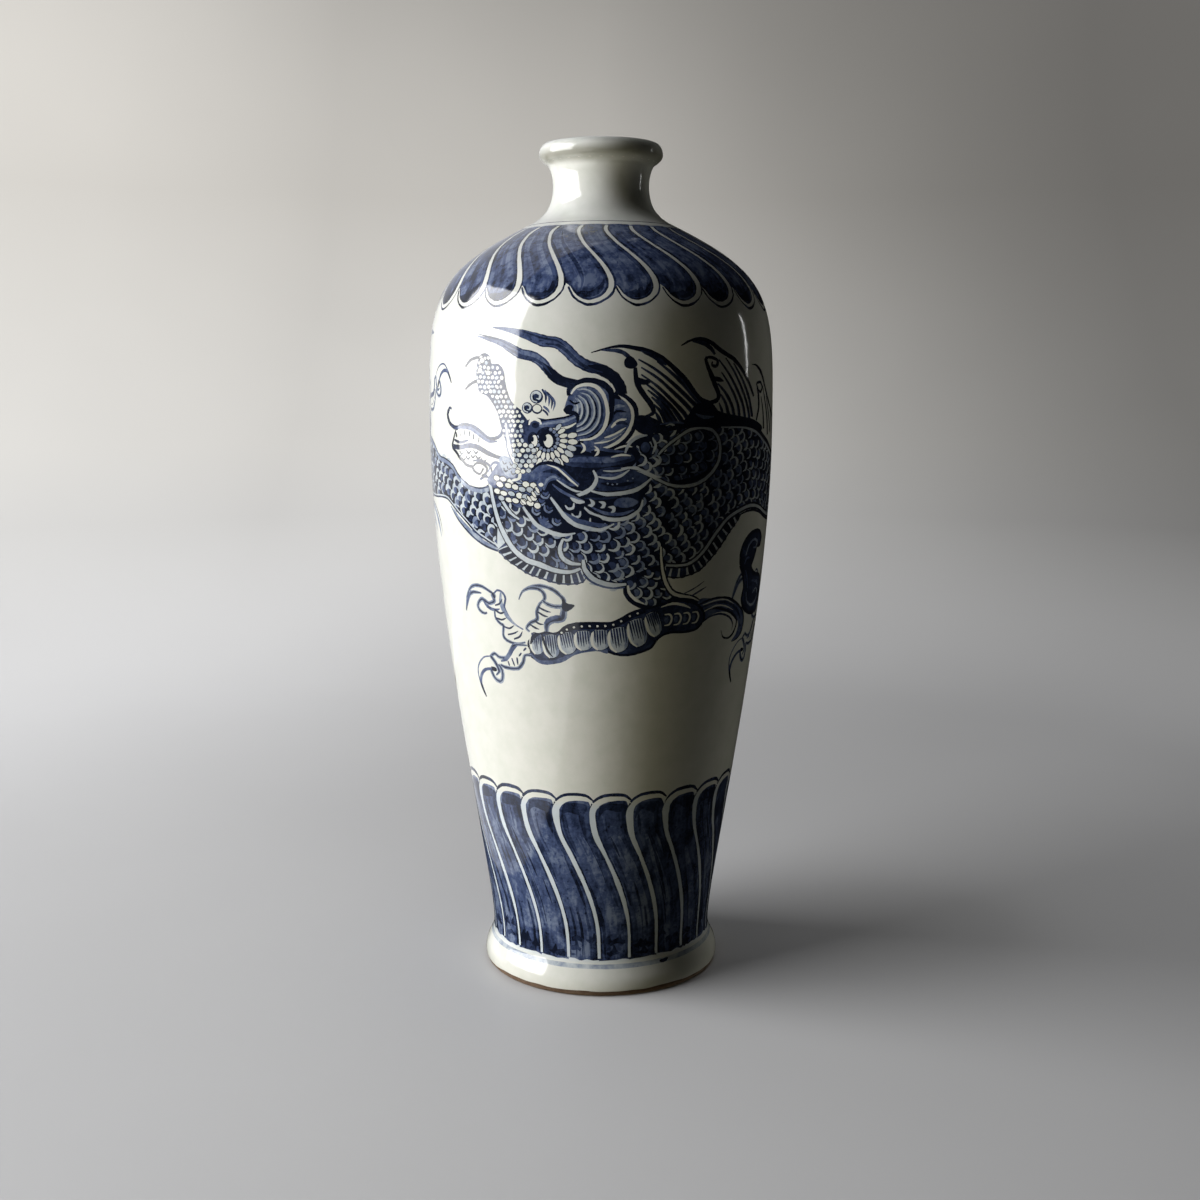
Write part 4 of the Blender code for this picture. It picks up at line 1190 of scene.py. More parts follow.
def brow_ridge():
    """Brow over the eyes."""
    patch([(-24, 272), (-20, 274.4), (-15, 273.6), (-8, 275.4), (-7.4, 268), (-8, 260), (-13, 253.6),
           (-20, 253), (-23, 258), (-24, 266)], DEEP)
    brow = [(-18.9, 271.2), (-14.6, 272), (-10.8, 272.8), (-7.6, 274.5)]
    stroke(brow, 3.6, MID, 0.5, 0.7)
    stroke(moved(brow, 0, 0.4), 1.2, PALE, 0.2, 0.4)
    stroke(moved(brow, 0, 1.9), 0.9, LINE, 0.3, 0.6)
    stroke([(-17.4, 269.5), (-13.6, 269.6), (-9.9, 270.5), (-7.5, 272.3)], 1.2, WHITE, 0.3, 0.4)
    stroke([(-22.3, 271.3), (-21.8, 273.1), (-20.3, 273.9), (-18.8, 273), (-18.3, 271.6)],
           1.4, WHITE, 0.5, 0.4)
    ball((-20.2, 271.2), 3.4, 2.6, LINE)


def eyes():
    """Eyes, the right one in a ring of beads and rings of lashes."""
    eye = (-16.4, 265)
    ball(eye, 11.2, 11.4, LINE)
    for turn in range(70, -200, -22):
        ball(local([(4.7, 0)], eye, turn)[0], 1.7, 1.6, PALE, turn)
    ball(eye, 7.2, 7.8, LINE)
    ball(local([(0.5, -0.5)], eye)[0], 4.2, 5.8, WHITE)
    ball(local([(-1.2, 0.6)], eye)[0], 2.0, 2.8, LINE)
    for reach, turns, long, wide in ((7.4, range(48, -150, -17), 3.6, 1.8),
                                     (11.2, range(10, -62, -14), 4.2, 2.4),
                                     (10.8, range(-66, -128, -15), 4.4, 2.5)):
        for turn in turns:
            lash = local([(reach, 0)], eye, turn)[0]
            bead(lash, long, wide, rng.choice((WHITE, WHITE, HINT)), 0.6, turn)
    ball((-21, 264.8), 5.0, 7.2, LINE)
    ball((-20.5, 264.5), 2.8, 5.0, WHITE)
    ball((-21.2, 265.2), 1.5, 2.6, LINE)


def eye_net():
    """Net below the eyes."""
    for row in range(6):
        for column in range(4):
            x = -27.4 + 1.95 * (column + 0.5 * (row % 2)) + rng.uniform(-0.2, 0.2)
            y = 262.4 - 2.25 * row + rng.uniform(-0.3, 0.3)
            bead((x, y), 2.4, 2.0, rng.choice((WHITE, WHITE, HINT, FAINT)), 0.5)


def cheek_locks():
    """Locks below the eyes."""
    lock = [(-21.4, 251.6), (-19, 254.2), (-15, 254.8), (-11.6, 252.8), (-9, 249.4), (-6.6, 246), (-8, 245),
            (-11, 245.4), (-13.4, 247.6), (-16, 246.6), (-17.6, 243), (-19, 246)]
    patch(lock, MID)
    stroke([(-21.6, 251.6), (-19, 254.4), (-15, 255), (-11.4, 253), (-8.8, 249.6), (-6.2, 246)],
           1.4, LINE, 0.5, 0.4)
    stroke([(-16.6, 254.2), (-13.7, 253), (-11.3, 250.4), (-9.1, 247.4), (-7, 245)], 0.9, WHITE, 0.2, 0.6)
    stroke([(-18, 251), (-14.6, 251.4), (-11.6, 249), (-9.4, 246.4)], 1.8, DEEP, 0.3, 0.3)
    stroke([(-17.8, 244), (-16.6, 247.6), (-14.6, 249), (-12.6, 248)], 1.2, PALE, 0.3, 0.4)
    lock = [(-15.4, 247), (-13, 247), (-10, 243.6), (-7, 241), (-5, 238.4), (-8, 238.6), (-11.4, 240.4),
            (-14, 243.4)]
    patch(lock, LINE)
    stroke([(-15, 245.8), (-12.4, 243), (-8.8, 240.4), (-5.4, 238.8)], 1.3, MID, 0.3, 0.3)
    stroke([(-13.6, 247.8), (-11, 245.2), (-8, 243), (-5.6, 242.6)], 1.0, HINT, 0.4, 0.3)
    stroke([(-9.4, 240), (-7.4, 238.4), (-5, 238.2)], 1.6, HINT, 0.3, 0.4)
    ball((-18.6, 245.4), 2.4, 1.8, WHITE)


def head():
    lower_jaw()
    cheek()
    upper_jaw()
    nostrils()
    brow_ridge()
    eyes()
    eye_net()
    cheek_locks()


# Clouds, flames and the far side

def cloud():
    """Scroll cloud with two curls."""
    edge = [(53.6, 206), (53.4, 212), (56, 217.6), (61, 220.6), (66.6, 220.2), (70, 217), (69, 213.4),
            (65.6, 213), (64.4, 209.4), (62, 204), (66, 200), (73, 198), (78, 193), (78, 186), (73, 181),
            (66, 181), (60, 184), (57, 189), (57.6, 195), (56.4, 200)]
    patch(edge, DEEP)
    stroke(edge + edge[:1], 1.8, LINE, 1, 1)
    for run, width, ink in (
            ([(57, 210), (58.6, 214.6), (62.4, 216.8), (65.6, 215.4), (64.6, 212.8), (62.4, 213)], 1.1, PALE),
            ([(60, 192), (61.4, 187.6), (66, 184.8), (71.4, 186), (72.4, 190), (69.4, 192.4), (66.6, 190.6)],
             1.1, PALE),
            ([(57.6, 203), (60, 198), (60.6, 194)], 1.0, MID),
            ([(64, 197), (70, 195.4), (74.6, 191)], 1.4, MID),
            ([(56.4, 206), (58, 208.6), (60.4, 208.4)], 1.0, MID)):
        stroke(run, width, ink, 0.4, 0.3)


def flame(place, tilt, size=1.0):
    """Tongue of flame with a forked end."""
    for points, width, ink in (
            ([(0, 0), (7, 3), (13, 2), (20, 5), (27, 11)], 3.0, MID),
            ([(0, 0), (6, -1), (13, -2), (19, -1), (25, 2)], 2.6, MID),
            ([(0, 1), (7, 4.4), (13, 3.4), (20, 6.2), (28, 12)], 0.8, LINE),
            ([(0, -1), (6, -2.4), (13, -3.2), (19, -2), (26, 2)], 0.8, LINE)):
        stroke(local(points, place, tilt, size), width * size, ink, 0.7, 0.1)


def scroll_cloud(place, tilt, size=1.0):
    """Long cloud of three curled lobes with a trailing tail."""
    edge = [(-34, -3), (-20, -7), (-7, -6), (3, -10), (14, -9), (20, -3), (19, 4), (12, 8), (9, 14),
            (1, 17.5), (-7, 15), (-10, 8), (-19, 7), (-24, 1)]
    patch(local(edge, place, tilt, size), MID)
    stroke(local(edge + edge[:1], place, tilt, size), 1.6 * size, LINE, 1, 1)
    for x, y, turn in ((12, -2, 0), (0, 9, 70), (-15, 1, 30)):
        curl = [(5, -4), (6.4, 0), (3.6, 4.4), (-1.4, 4.4), (-3.8, 0.8), (-2, -2.2), (1.2, -1.8), (1.8, 0.6)]
        curl = [(across * MM_PER_DEGREE + x, up + y) for across, up in local(curl, (0, 0), turn)]
        curl = local(curl, place, tilt, size)
        stroke(curl, 3.0 * size, DEEP, 0.5, 0.5)
        stroke(curl, 1.3 * size, WHITE, 0.5, 0.5)
    for lift in (0, 4, -4):
        tip = [(-30, 0.4 * lift), (-42, -3 + lift), (-54, -2 + 1.3 * lift), (-64, 2 + 1.6 * lift)]
        stroke(local(tip, place, tilt, size), 2.2 * size, PALE, 0.9, 0.1)
        stroke(local(tip, place, tilt, size), 1.0 * size, LINE, 0.9, 0.1)


def far_side():
    """Body, legs, clouds and flames round the back."""
    global pen
    back_body()
    for pen in (Pen((14, 200), (118, 205)), Pen((14, 200), (251, 246), 62, 0.85, True)):
        foreleg()
    pen = Pen()
    scroll_cloud((168, 284), 6, 1.15)
    scroll_cloud((196, 172), -4, 1.1)
    scroll_cloud((268, 190), 4, 0.85)
    flame((100, 268), 25)
    flame((112, 276), 40, 0.8)
    flame((205, 214), -20)
    flame((214, 282), 20, 0.9)
    flame((232, 214), -14, 0.9)


def left_edge():
    """Flames under the body at the left edge of the front."""
    for points, width, ink in (
            ([(-84, 232), (-76, 230), (-71, 224), (-69, 217)], 3.0, PALE),
            ([(-86, 228), (-78, 225), (-74, 219)], 2.4, PALE),
            ([(-84, 234), (-75, 232), (-69, 226), (-67, 218)], 0.9, DEEP),
            ([(-86, 226), (-79, 222), (-75.6, 217)], 0.8, MID)):
        stroke(points, width, ink, 0.6, 0.2)


def dragon():
    far_side()
    left_edge()
    fins()
    tail()
    chest()
    foreleg()
    cloud()
    horns()
    mane()
    collar()
    head()


# Painted skin

def in_turns(edge):
    """The patch where it lies within one turn of the jar, also when it crosses the back."""
    turn = 360 * MM_PER_DEGREE
    xs = [point[0] for point in edge]
    copies = []
    for step in (-2, -1, 0, 1, 2):
        if max(xs) + step * turn > -turn / 2 and min(xs) + step * turn < turn / 2:
            copies.append([(x + step * turn, y) for x, y in edge])
    return copies


def inside(spots, edge):
    """Which spots a closed edge winds round."""
    start = edge[:, None, :]
    end = np.roll(edge, -1, axis=0)[:, None, :]
    x, y = spots[None, :, 0], spots[None, :, 1]
    start_x, start_y, end_x, end_y = start[..., 0], start[..., 1], end[..., 0], end[..., 1]
    left = (end_x - start_x) * (y - start_y) - (x - start_x) * (end_y - start_y)
    rising = (start_y <= y) & (end_y > y) & (left > 0)
    falling = (start_y > y) & (end_y <= y) & (left < 0)
    return rising.sum(axis=0) != falling.sum(axis=0)


class Canvas:
    """Painted zone of the unrolled jar, as x round it and length up it, in triangles of one ink each."""

    def __init__(self):
        self.half = 180 * MM_PER_DEGREE
        self.low = length_at(CANVAS_LOW_Z)
        self.high = length_at(CANVAS_HIGH_Z)
        columns = [-self.half + 2 * self.half * step / AROUND for step in range(AROUND + 1)]
        rows = [self.low + (self.high - self.low) * step / CANVAS_ROWS for step in range(CANVAS_ROWS + 1)]
        self.rim = ([(x, self.low) for x in columns[:-1]] + [(self.half, y) for y in rows[:-1]]
                    + [(x, self.high) for x in columns[:0:-1]] + [(-self.half, y) for y in rows[:0:-1]])
        self.grid = [(x, y) for number, y in enumerate(rows[1:-1]) for x in columns[1 + number % 2:-1:2]]
        self.loops = [(copy, ink) for edge, ink in shapes for copy in in_turns(edge)]

    def cut(self, points, edges):
        """Triangles of the zone along the edges."""
        found = delaunay_2d_cdt([Vector(point) for point in points + self.grid], edges, [],
                                0, CUT_TOLERANCE, False)
        corners = np.array([tuple(corner) for corner in found[0]])
        faces = np.array([tuple(face) for face in found[2]])
        middles = corners[faces].mean(axis=1)
        kept = (np.abs(middles[:, 0]) < self.half) & (middles[:, 1] > self.low) & (middles[:, 1] < self.high)
        return corners, faces[kept]

    def paint(self, middles):
        """Ink at each place: the last shape laid over it, found cell by cell."""
        wide = int(2 * self.half / CELL) + 3
        rows = ((middles[:, 1] - self.low) / CELL).astype(int)
        columns = ((middles[:, 0] + self.half) / CELL).astype(int)
        cells = rows * wide + columns
        order = np.argsort(cells, kind="stable")
        cells = cells[order]
        inks = np.full(len(middles), WHITE)
        for loop, ink in self.loops:
            edge = np.array(loop)
            least, most = edge.min(axis=0), edge.max(axis=0)
            first, last = (int((np.clip(x, -self.half, self.half) + self.half) / CELL)
                           for x in (least[0], most[0]))
            bottom, top = (int((y - self.low) / CELL) for y in (least[1], most[1]))
            near = [np.zeros(0, int)]
            for row in range(max(bottom, 0), top + 1):
                start = np.searchsorted(cells, row * wide + first, "left")
                end = np.searchsorted(cells, row * wide + last, "right")
                near.append(order[start:end])
            near = np.concatenate(near)
            inks[near[inside(middles[near], edge)]] = ink
        return inks

    def finished(self):
        """Corners, triangles and inks, cut first along every brush edge and then only where two inks meet."""
        points = []
        edges = []
        for loop in [self.rim] + [loop for loop, _ in self.loops]:
            first = len(points)
            points.extend(loop)
            edges.extend((first + step, first + (step + 1) % len(loop)) for step in range(len(loop)))
        corners, faces = self.cut(points, edges)
        lines = between_inks(faces, self.paint(corners[faces].mean(axis=1)))
        lines = eased(corners, lines, np.abs(corners[:, 0]) < self.half - EASE_TOLERANCE)
        used, index = np.unique(np.array(lines), return_inverse=True)
        lines = [tuple(line) for line in index.reshape(-1, 2).tolist()]
        corners, faces = self.cut([tuple(corner) for corner in corners[used]], lines)
        return corners, faces, self.paint(corners[faces].mean(axis=1))


def between_inks(faces, inks):
    """Edges that part two inks, and the edges of the zone."""
    ends = np.sort(np.concatenate([faces[:, [0, 1]], faces[:, [1, 2]], faces[:, [2, 0]]]), axis=1)
    inks = np.tile(inks, 3)
    order = np.lexsort((ends[:, 1], ends[:, 0]))
    ends, inks = ends[order], inks[order]
    same = np.all(ends[1:] == ends[:-1], axis=1)
    alone = np.ones(len(ends), bool)
    alone[1:] &= ~same
    alone[:-1] &= ~same
    parting = same & (inks[1:] != inks[:-1])
    return np.concatenate([ends[alone], ends[1:][parting]]).tolist()


def eased(corners, lines, loose):
    """Edges joined where a loose corner between two of them lies almost on a line."""
    spots = corners.tolist()
    ties = {}
    for a, b in lines:
        ties.setdefault(a, set()).add(b)
        ties.setdefault(b, set()).add(a)
    for here in sorted(ties):
        if not loose[here] or len(ties[here]) != 2:
            continue
        a, b = sorted(ties[here])
        close = math.dist(spots[a], spots[b]) < LONGEST_EDGE and b not in ties[a]
        if close and off_line(spots[here], spots[a], spots[b]) < EASE_TOLERANCE:
            ties[a].remove(here)
            ties[b].remove(here)
            ties[a].add(b)
            ties[b].add(a)
            ties[here] = set()
    return [(a, b) for a in sorted(ties) for b in sorted(ties[a]) if a < b]


def inner_outline():
    """Finished inside of the jar, from the crest down to the middle of the floor."""
    line = [(CREST_R, CREST_Z)]
    line += cubic(line[-1], (-ROUND * (CREST_R - BORE_R), 0), (0, -MOUTH_REACH * (CREST_Z - NECK_Z)),
                  (BORE_R, NECK_Z), MOUTH_STEPS)
    for point, side in zip(outer[::-1], outer_sides[::-1]):
        if point[1] >= NECK_Z or point[1] < FLOOR_TOP_Z + FLOOR_FILLET:
            continue
        inside = (point[0] - WALL_AND_GLAZE * side.x, point[1] - WALL_AND_GLAZE * side.y)
        if math.dist(inside, line[-1]) > INNER_STEP:
            line.append(inside)
    corner = line[-1][0]
    ease = ROUND * FLOOR_FILLET
    line += cubic(line[-1], (0, -ease), (-ease, 0), (corner - FLOOR_FILLET, FLOOR_TOP_Z), FILLET_STEPS)
    line += [(share * (corner - FLOOR_FILLET), FLOOR_TOP_Z) for share in (0.7, 0.4, 0.15, 0.0)]
    return line


def turned(radius, height, angle):
    """Point in metres, with angle 0 at the front and rising to the right."""
    a = math.radians(angle)
    return (radius * math.sin(a) * MM, -radius * math.cos(a) * MM, height * MM)


def turned_side(side, angle):
    a = math.radians(angle)
    return Vector((side.x * math.sin(a), -side.x * math.cos(a), side.y))


class Mesh:
    """Collects welded vertices with their normals, faces with ink and unrolled places."""

    def __init__(self):
        self.index = {}
        self.verts = []
        self.normals = []
        self.faces = []
        self.inks = []
        self.maps = []

    def vert(self, radius, height, angle, side):
        spot = turned(radius, height, angle)
        key = tuple(round(value / MM * WELDS_PER_MM) for value in spot) + (side.y >= 0 or radius > 0,)
        if key not in self.index:
            self.index[key] = len(self.verts)
            self.verts.append(spot)
            self.normals.append(turned_side(side, angle))
        return self.index[key]

    def face(self, corners, ink, places):
        if len(set(corners)) == len(corners):
            self.faces.append(corners)
            self.inks.append(ink)
            self.maps.append(places)

    def lathe(self, line, normals, low, high, edge=None):
        """Turn an outline.

        Low and high are its share of the map's height, and edge gives its first point at an angle.
        """
        total = sum(math.dist(a, b) for a, b in zip(line, line[1:]))
        done = 0.0
        for index in range(len(line) - 1):
            step = math.dist(line[index], line[index + 1])
            v = [low + (high - low) * done / total, low + (high - low) * (done + step) / total]
            done += step
            for number in range(AROUND):
                a = -180 + 360 * number / AROUND
                b = -180 + 360 * (number + 1) / AROUND
                corners = []
                places = []
                for row, angle in ((0, a), (0, b), (1, b), (1, a)):
                    point = edge(angle) if edge and index + row == 0 else line[index + row]
                    corner = self.vert(point[0], point[1], angle, normals[index + row])
                    if corner not in corners:
                        corners.append(corner)
                        places.append(((angle + 180) / 360, v[row]))
                if len(corners) > 2:
                    self.face(corners, WHITE, places)

    def build(self, name):
        mesh = bpy.data.meshes.new(name)
        mesh.from_pydata(self.verts, [], self.faces)
        ink = mesh.attributes.new("ink", "FLOAT", "FACE")
        ink.data.foreach_set("value", self.inks)
        uv = mesh.uv_layers.new(name="OFBake")
        uv.data.foreach_set("uv", [value for places in self.maps for place in places for value in place])
        mesh.polygons.foreach_set("use_smooth", [True] * len(self.faces))
        mesh.normals_split_custom_set_from_vertices(self.normals)
        piece = bpy.data.objects.new(name, mesh)
        bpy.context.collection.objects.link(piece)
        return piece


def clip(line, normals, low, high):
    """Part of the outside outline between two lengths, with cut ends."""
    part = [(radius_at(low), height_at(low))]
    part_sides = [side_at(low)]
    for point, side, length in zip(line, normals, outer_lengths):
        if low + END_GAP < length < high - END_GAP:
            part.append(point)
            part_sides.append(side)
    part.append((radius_at(high), height_at(high)))
    part_sides.append(side_at(high))
    return part, part_sides


# The glaze's lower edge, as waves round the jar and their heights in millimetres.
GLAZE_WAVES = ((2, 0.22), (5, 0.18), (9, 0.14), (17, 0.12), (31, 0.08))
# Shares of the map's height at which the outside and the inside end.
OUTER_SHARE = 0.62
INNER_SHARE = 0.97
# Angle from which an edge of the bare foot stays sharp.
SHARP_EDGE = math.radians(35)


def glaze_coat():
    """Painted skin over the outside, the lip and the inside."""
    mesh = Mesh()
    edge = length_at(GLAZE_LINE_Z)
    low = length_at(CANVAS_LOW_Z)
    high = length_at(CANVAS_HIGH_Z)
    top = outer_lengths[-1]

    def share(length):
        return OUTER_SHARE * (length - edge) / (top - edge)

    line, normals = clip(outer, outer_sides, edge, low)
    # The points next to the edge go, so that its waves stay below the row that follows.
    line, normals = line[:1] + line[3:], normals[:1] + normals[3:]

    def wavy(angle):
        length = edge + sum(size * math.sin(math.radians(count * angle) + count)
                            for count, size in GLAZE_WAVES)
        return radius_at(length), height_at(length)

    mesh.lathe(line, normals, 0.0, share(low), wavy)
    corners, faces, inks = Canvas().finished()
    angles = corners[:, 0] / MM_PER_DEGREE
    radii = np.interp(corners[:, 1], outer_lengths, outer_radii)
    heights = np.interp(corners[:, 1], outer_lengths, outer_heights)
    across = np.interp(corners[:, 1], outer_lengths, [side.x for side in outer_sides])
    upward = np.interp(corners[:, 1], outer_lengths, [side.y for side in outer_sides])
    numbers = {}
    for index in np.unique(faces):
        numbers[index] = mesh.vert(radii[index], heights[index], angles[index],
                                   Vector((across[index], upward[index])))
    for face, ink in zip(faces, inks):
        places = [((angles[index] + 180) / 360, share(corners[index, 1])) for index in face]
        mesh.face([numbers[index] for index in face], ink, places)
    line, normals = clip(outer, outer_sides, high, top)
    mesh.lathe(line, normals, share(high), OUTER_SHARE)
    inside = inner_outline()
    inside_sides = sides(inside)
    inside_sides[0] = outer_sides[-1]
    inside_sides[-1] = Vector((0.0, 1.0))
    mesh.lathe(inside, inside_sides, OUTER_SHARE, INNER_SHARE)
    return mesh.build("glaze_coat")


def foot_rim():
    """Bare clay ring under the glaze, with a fine round edge."""
    mesh = Mesh()
    line = [(FOOT_BORE_R + FOOT_CHAMFER, 0.0)]
    line += [point for point in outer if point[1] < BARE_TOP_Z]
    for point, side in zip(outer, outer_sides):
        if BARE_TOP_Z <= point[1] < FOOT_TOP_Z - 1:
            line.append((point[0] - SKIN * side.x, point[1] - SKIN * side.y))
    line += [(line[-1][0], FOOT_TOP_Z), (FLOOR_SEAT_R, FOOT_TOP_Z), (FLOOR_SEAT_R, FOOT_RECESS_Z),
             (FOOT_BORE_R, FOOT_RECESS_Z), (FOOT_BORE_R, FOOT_CHAMFER), (FOOT_BORE_R + FOOT_CHAMFER, 0.0)]
    for index, (radius, height) in enumerate(line):
        if 0 < height < BARE_TOP_Z and radius > STAND_R:
            line[index] = (radius - BARE_SETBACK, height)
    mesh.lathe(line, sides(line), 0.0, 1.0)
    piece = mesh.build("foot_rim")
    piece.data.set_sharp_from_angle(angle=SHARP_EDGE)
    return piece


upper_border()
lower_border()
dragon()
coat = glaze_coat()
rim = foot_rim()


# Materials

def new_material(name):
    material = bpy.data.materials.new(name)
    material.use_nodes = True
    nodes = material.node_tree.nodes
    return material, nodes, material.node_tree.links, nodes["Principled BSDF"]


def noise(nodes, links, coordinates, scale, detail, roughness):
    node = nodes.new("ShaderNodeTexNoise")
    node.inputs["Scale"].default_value = scale
    node.inputs["Detail"].default_value = detail
    node.inputs["Roughness"].default_value = roughness
    links.new(coordinates, node.inputs["Vector"])
    return node.outputs["Fac"]


def math_node(nodes, links, operation, first, second):
    node = nodes.new("ShaderNodeMath")
    node.operation = operation
    for socket, value in zip(node.inputs, (first, second)):
        if isinstance(value, (int, float)):
            socket.default_value = value
        else:
            links.new(value, socket)
    return node.outputs[0]


def tinted(nodes, links, colour, tint, share):
    """Colour multiplied by a tint, to a share."""
    node = nodes.new("ShaderNodeMix")
    node.data_type = "RGBA"
    node.blend_type = "MULTIPLY"
    links.new(colour, node.inputs["A"])
    for name, value in (("Factor", share), ("B", tint)):
        if isinstance(value, (int, float, tuple)):
            node.inputs[name].default_value = value
        else:
            links.new(value, node.inputs[name])
    return node.outputs["Result"]


def ramp(nodes, links, value, stops):
    node = nodes.new("ShaderNodeValToRGB")
    links.new(value, node.inputs["Fac"])
    elements = node.color_ramp.elements
    while len(elements) < len(stops):
        elements.new(0.5)
    for element, (position, colour) in zip(elements, stops):
        element.position = position
        element.color = (*colour, 1.0)
    return node.outputs["Color"]


def object_place(nodes, links):
    """Place in the piece's own frame, and its three axes."""
    where = nodes.new("ShaderNodeTexCoord").outputs["Object"]
    axes = nodes.new("ShaderNodeSeparateXYZ")
    links.new(where, axes.inputs[0])
    return where, axes.outputs


def roughen(nodes, links, shader, height, strength, distance):
    """Fine unevenness of the surface."""
    bump = nodes.new("ShaderNodeBump")
    bump.inputs["Strength"].default_value = strength
    bump.inputs["Distance"].default_value = distance
    links.new(height, bump.inputs["Height"])
    links.new(bump.outputs["Normal"], shader.inputs["Normal"])


# Ground colours, and shares of them for painted shade: a darker, bluer ground through the lower border, and a
# darker ground under the lip.
GROUND = (0.725, 0.73, 0.672)
GROUND_GREY = (0.66, 0.68, 0.61)
LOW_BORDER_SHADE_SHARE = (0.86, 0.935, 1.09)
UNDER_LIP_SHARE = (0.48, 0.47, 0.43)
INK_TONES = ((0.0, (0.62, 0.66, 0.66)), (0.12, (0.42, 0.47, 0.51)), (0.25, (0.19, 0.235, 0.33)),
             (0.5, (0.06, 0.086, 0.178)), (0.75, (0.019, 0.029, 0.066)), (1.0, (0.007, 0.010, 0.022)))
LEAST_INK = 0.02
# Noises as scale, detail and roughness.
CLOUD_NOISE = (110.0, 4.0, 0.6)
GRAIN_NOISE = (620.0, 3.0, 0.6)
STREAK_NOISE = (260.0, 2.0, 0.6)
SPECK_NOISE = (480.0, 2.0, 0.5)
RIPPLE_NOISE = (160.0, 2.0, 0.4)
CLAY_NOISE = (300.0, 4.0, 0.6)
CLAY_GRAIN_NOISE = (900.0, 3.0, 0.5)
PAPER_NOISE = (3.0, 2.0, 0.5)
# Parts of a noise's range that count as a speck or let the ink pool.
SPECK_RANGE = (0.64, 0.74)
POOL_RANGE = (0.38, 0.62)
# Heights in metres at which an effect sets in and is full.
LOW_BORDER = (0.110, 0.100)
HIGH_BORDER = (0.316, 0.322)
LOW_POOL = (0.036, 0.017)
HIGH_POOL = (0.341, 0.326)
LOW_BORDER_SHADE_TOP = (0.0985, 0.0945)
LOW_BORDER_SHADE_FOOT = (0.0145, 0.0175)
LIP_SHADE_TOP = (0.3972, 0.3938)
LIP_SHADE_FOOT = (0.3884, 0.3926)
# How much the ink's tone sways with each effect.
CLOUD_SWAY = 2.6
GRAIN_SWAY = 1.3
STREAK_SWAY = 1.8
STREAK_SQUEEZE = (1.0, 1.0, 0.14)
POOL_SWAY = 0.7
SPECK_SWAY = 0.7
LOW_BORDER_SWAY = 0.12
LEAST_SWAY = -0.32
SWAY_ROOM = 1.28


def glaze_material():
    """Clear glaze over the ground and the inks.

    The inks are mottled, streaked in the borders and pooled at the borders' lower ends.
    """
    material, nodes, links, shader = new_material("painted_glaze")

    def calc(operation, first, second):
        return math_node(nodes, links, operation, first, second)

    def add(first, second):
        return calc("ADD", first, second)

    def times(first, second):
        return calc("MULTIPLY", first, second)

    def centred(value):
        return calc("SUBTRACT", value, 0.5)

    def spread(value, low, high):
        """Value mapped from low..high to 0..1 and held there."""
        node = nodes.new("ShaderNodeMapRange")
        links.new(value, node.inputs["Value"])
        node.inputs["From Min"].default_value = low
        node.inputs["From Max"].default_value = high
        return node.outputs["Result"]

    where, axes = object_place(nodes, links)
    height = axes["Z"]
    ink = nodes.new("ShaderNodeAttribute")
    ink.attribute_name = "ink"
    ink = ink.outputs["Fac"]
    squeeze = nodes.new("ShaderNodeVectorMath")
    squeeze.operation = "MULTIPLY"
    squeeze.inputs[1].default_value = STREAK_SQUEEZE
    links.new(where, squeeze.inputs[0])
    cloud = noise(nodes, links, where, *CLOUD_NOISE)
    grain = noise(nodes, links, where, *GRAIN_NOISE)
    streak = noise(nodes, links, squeeze.outputs[0], *STREAK_NOISE)
    speck = spread(noise(nodes, links, where, *SPECK_NOISE), *SPECK_RANGE)
    low_border = spread(height, *LOW_BORDER)
    high_border = spread(height, *HIGH_BORDER)
    pool = add(spread(height, *LOW_POOL), times(spread(height, *HIGH_POOL), high_border))
    pool = times(pool, spread(cloud, *POOL_RANGE))
    sway = add(times(centred(cloud), CLOUD_SWAY), times(centred(grain), GRAIN_SWAY))
    sway = add(sway, times(times(centred(streak), STREAK_SWAY), add(low_border, high_border)))
    sway = add(sway, add(times(pool, POOL_SWAY), times(speck, SPECK_SWAY)))
    sway = calc("MAXIMUM", add(sway, times(low_border, LOW_BORDER_SWAY)), LEAST_SWAY)
    tone = add(ink, times(times(ink, calc("SUBTRACT", SWAY_ROOM, ink)), sway))
    blue = ramp(nodes, links, tone, INK_TONES)
    ground = ramp(nodes, links, cloud, [(0.35, GROUND), (0.7, GROUND_GREY)])
    # Painted shade: the ground is darkened and turned bluer through the lower border, and darkened under the
    # lip.
    for share, top, foot in ((LOW_BORDER_SHADE_SHARE, LOW_BORDER_SHADE_TOP, LOW_BORDER_SHADE_FOOT),
                             (UNDER_LIP_SHARE, LIP_SHADE_TOP, LIP_SHADE_FOOT)):
        ground = tinted(nodes, links, ground, (*share, 1.0),
                        times(spread(height, *top), spread(height, *foot)))
    mix = nodes.new("ShaderNodeMix")
    mix.data_type = "RGBA"
    links.new(calc("GREATER_THAN", ink, LEAST_INK), mix.inputs["Factor"])
    links.new(ground, mix.inputs["A"])
    links.new(blue, mix.inputs["B"])
    links.new(mix.outputs["Result"], shader.inputs["Base Color"])
    shader.inputs["Roughness"].default_value = 0.085
    shader.inputs["Specular IOR Level"].default_value = 0.75
    roughen(nodes, links, shader, noise(nodes, links, where, *RIPPLE_NOISE), 0.22, 0.0004)
    return material


coat.data.materials.append(glaze_material())
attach(coat, "root")
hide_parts("outer_glaze", "inner_glaze")


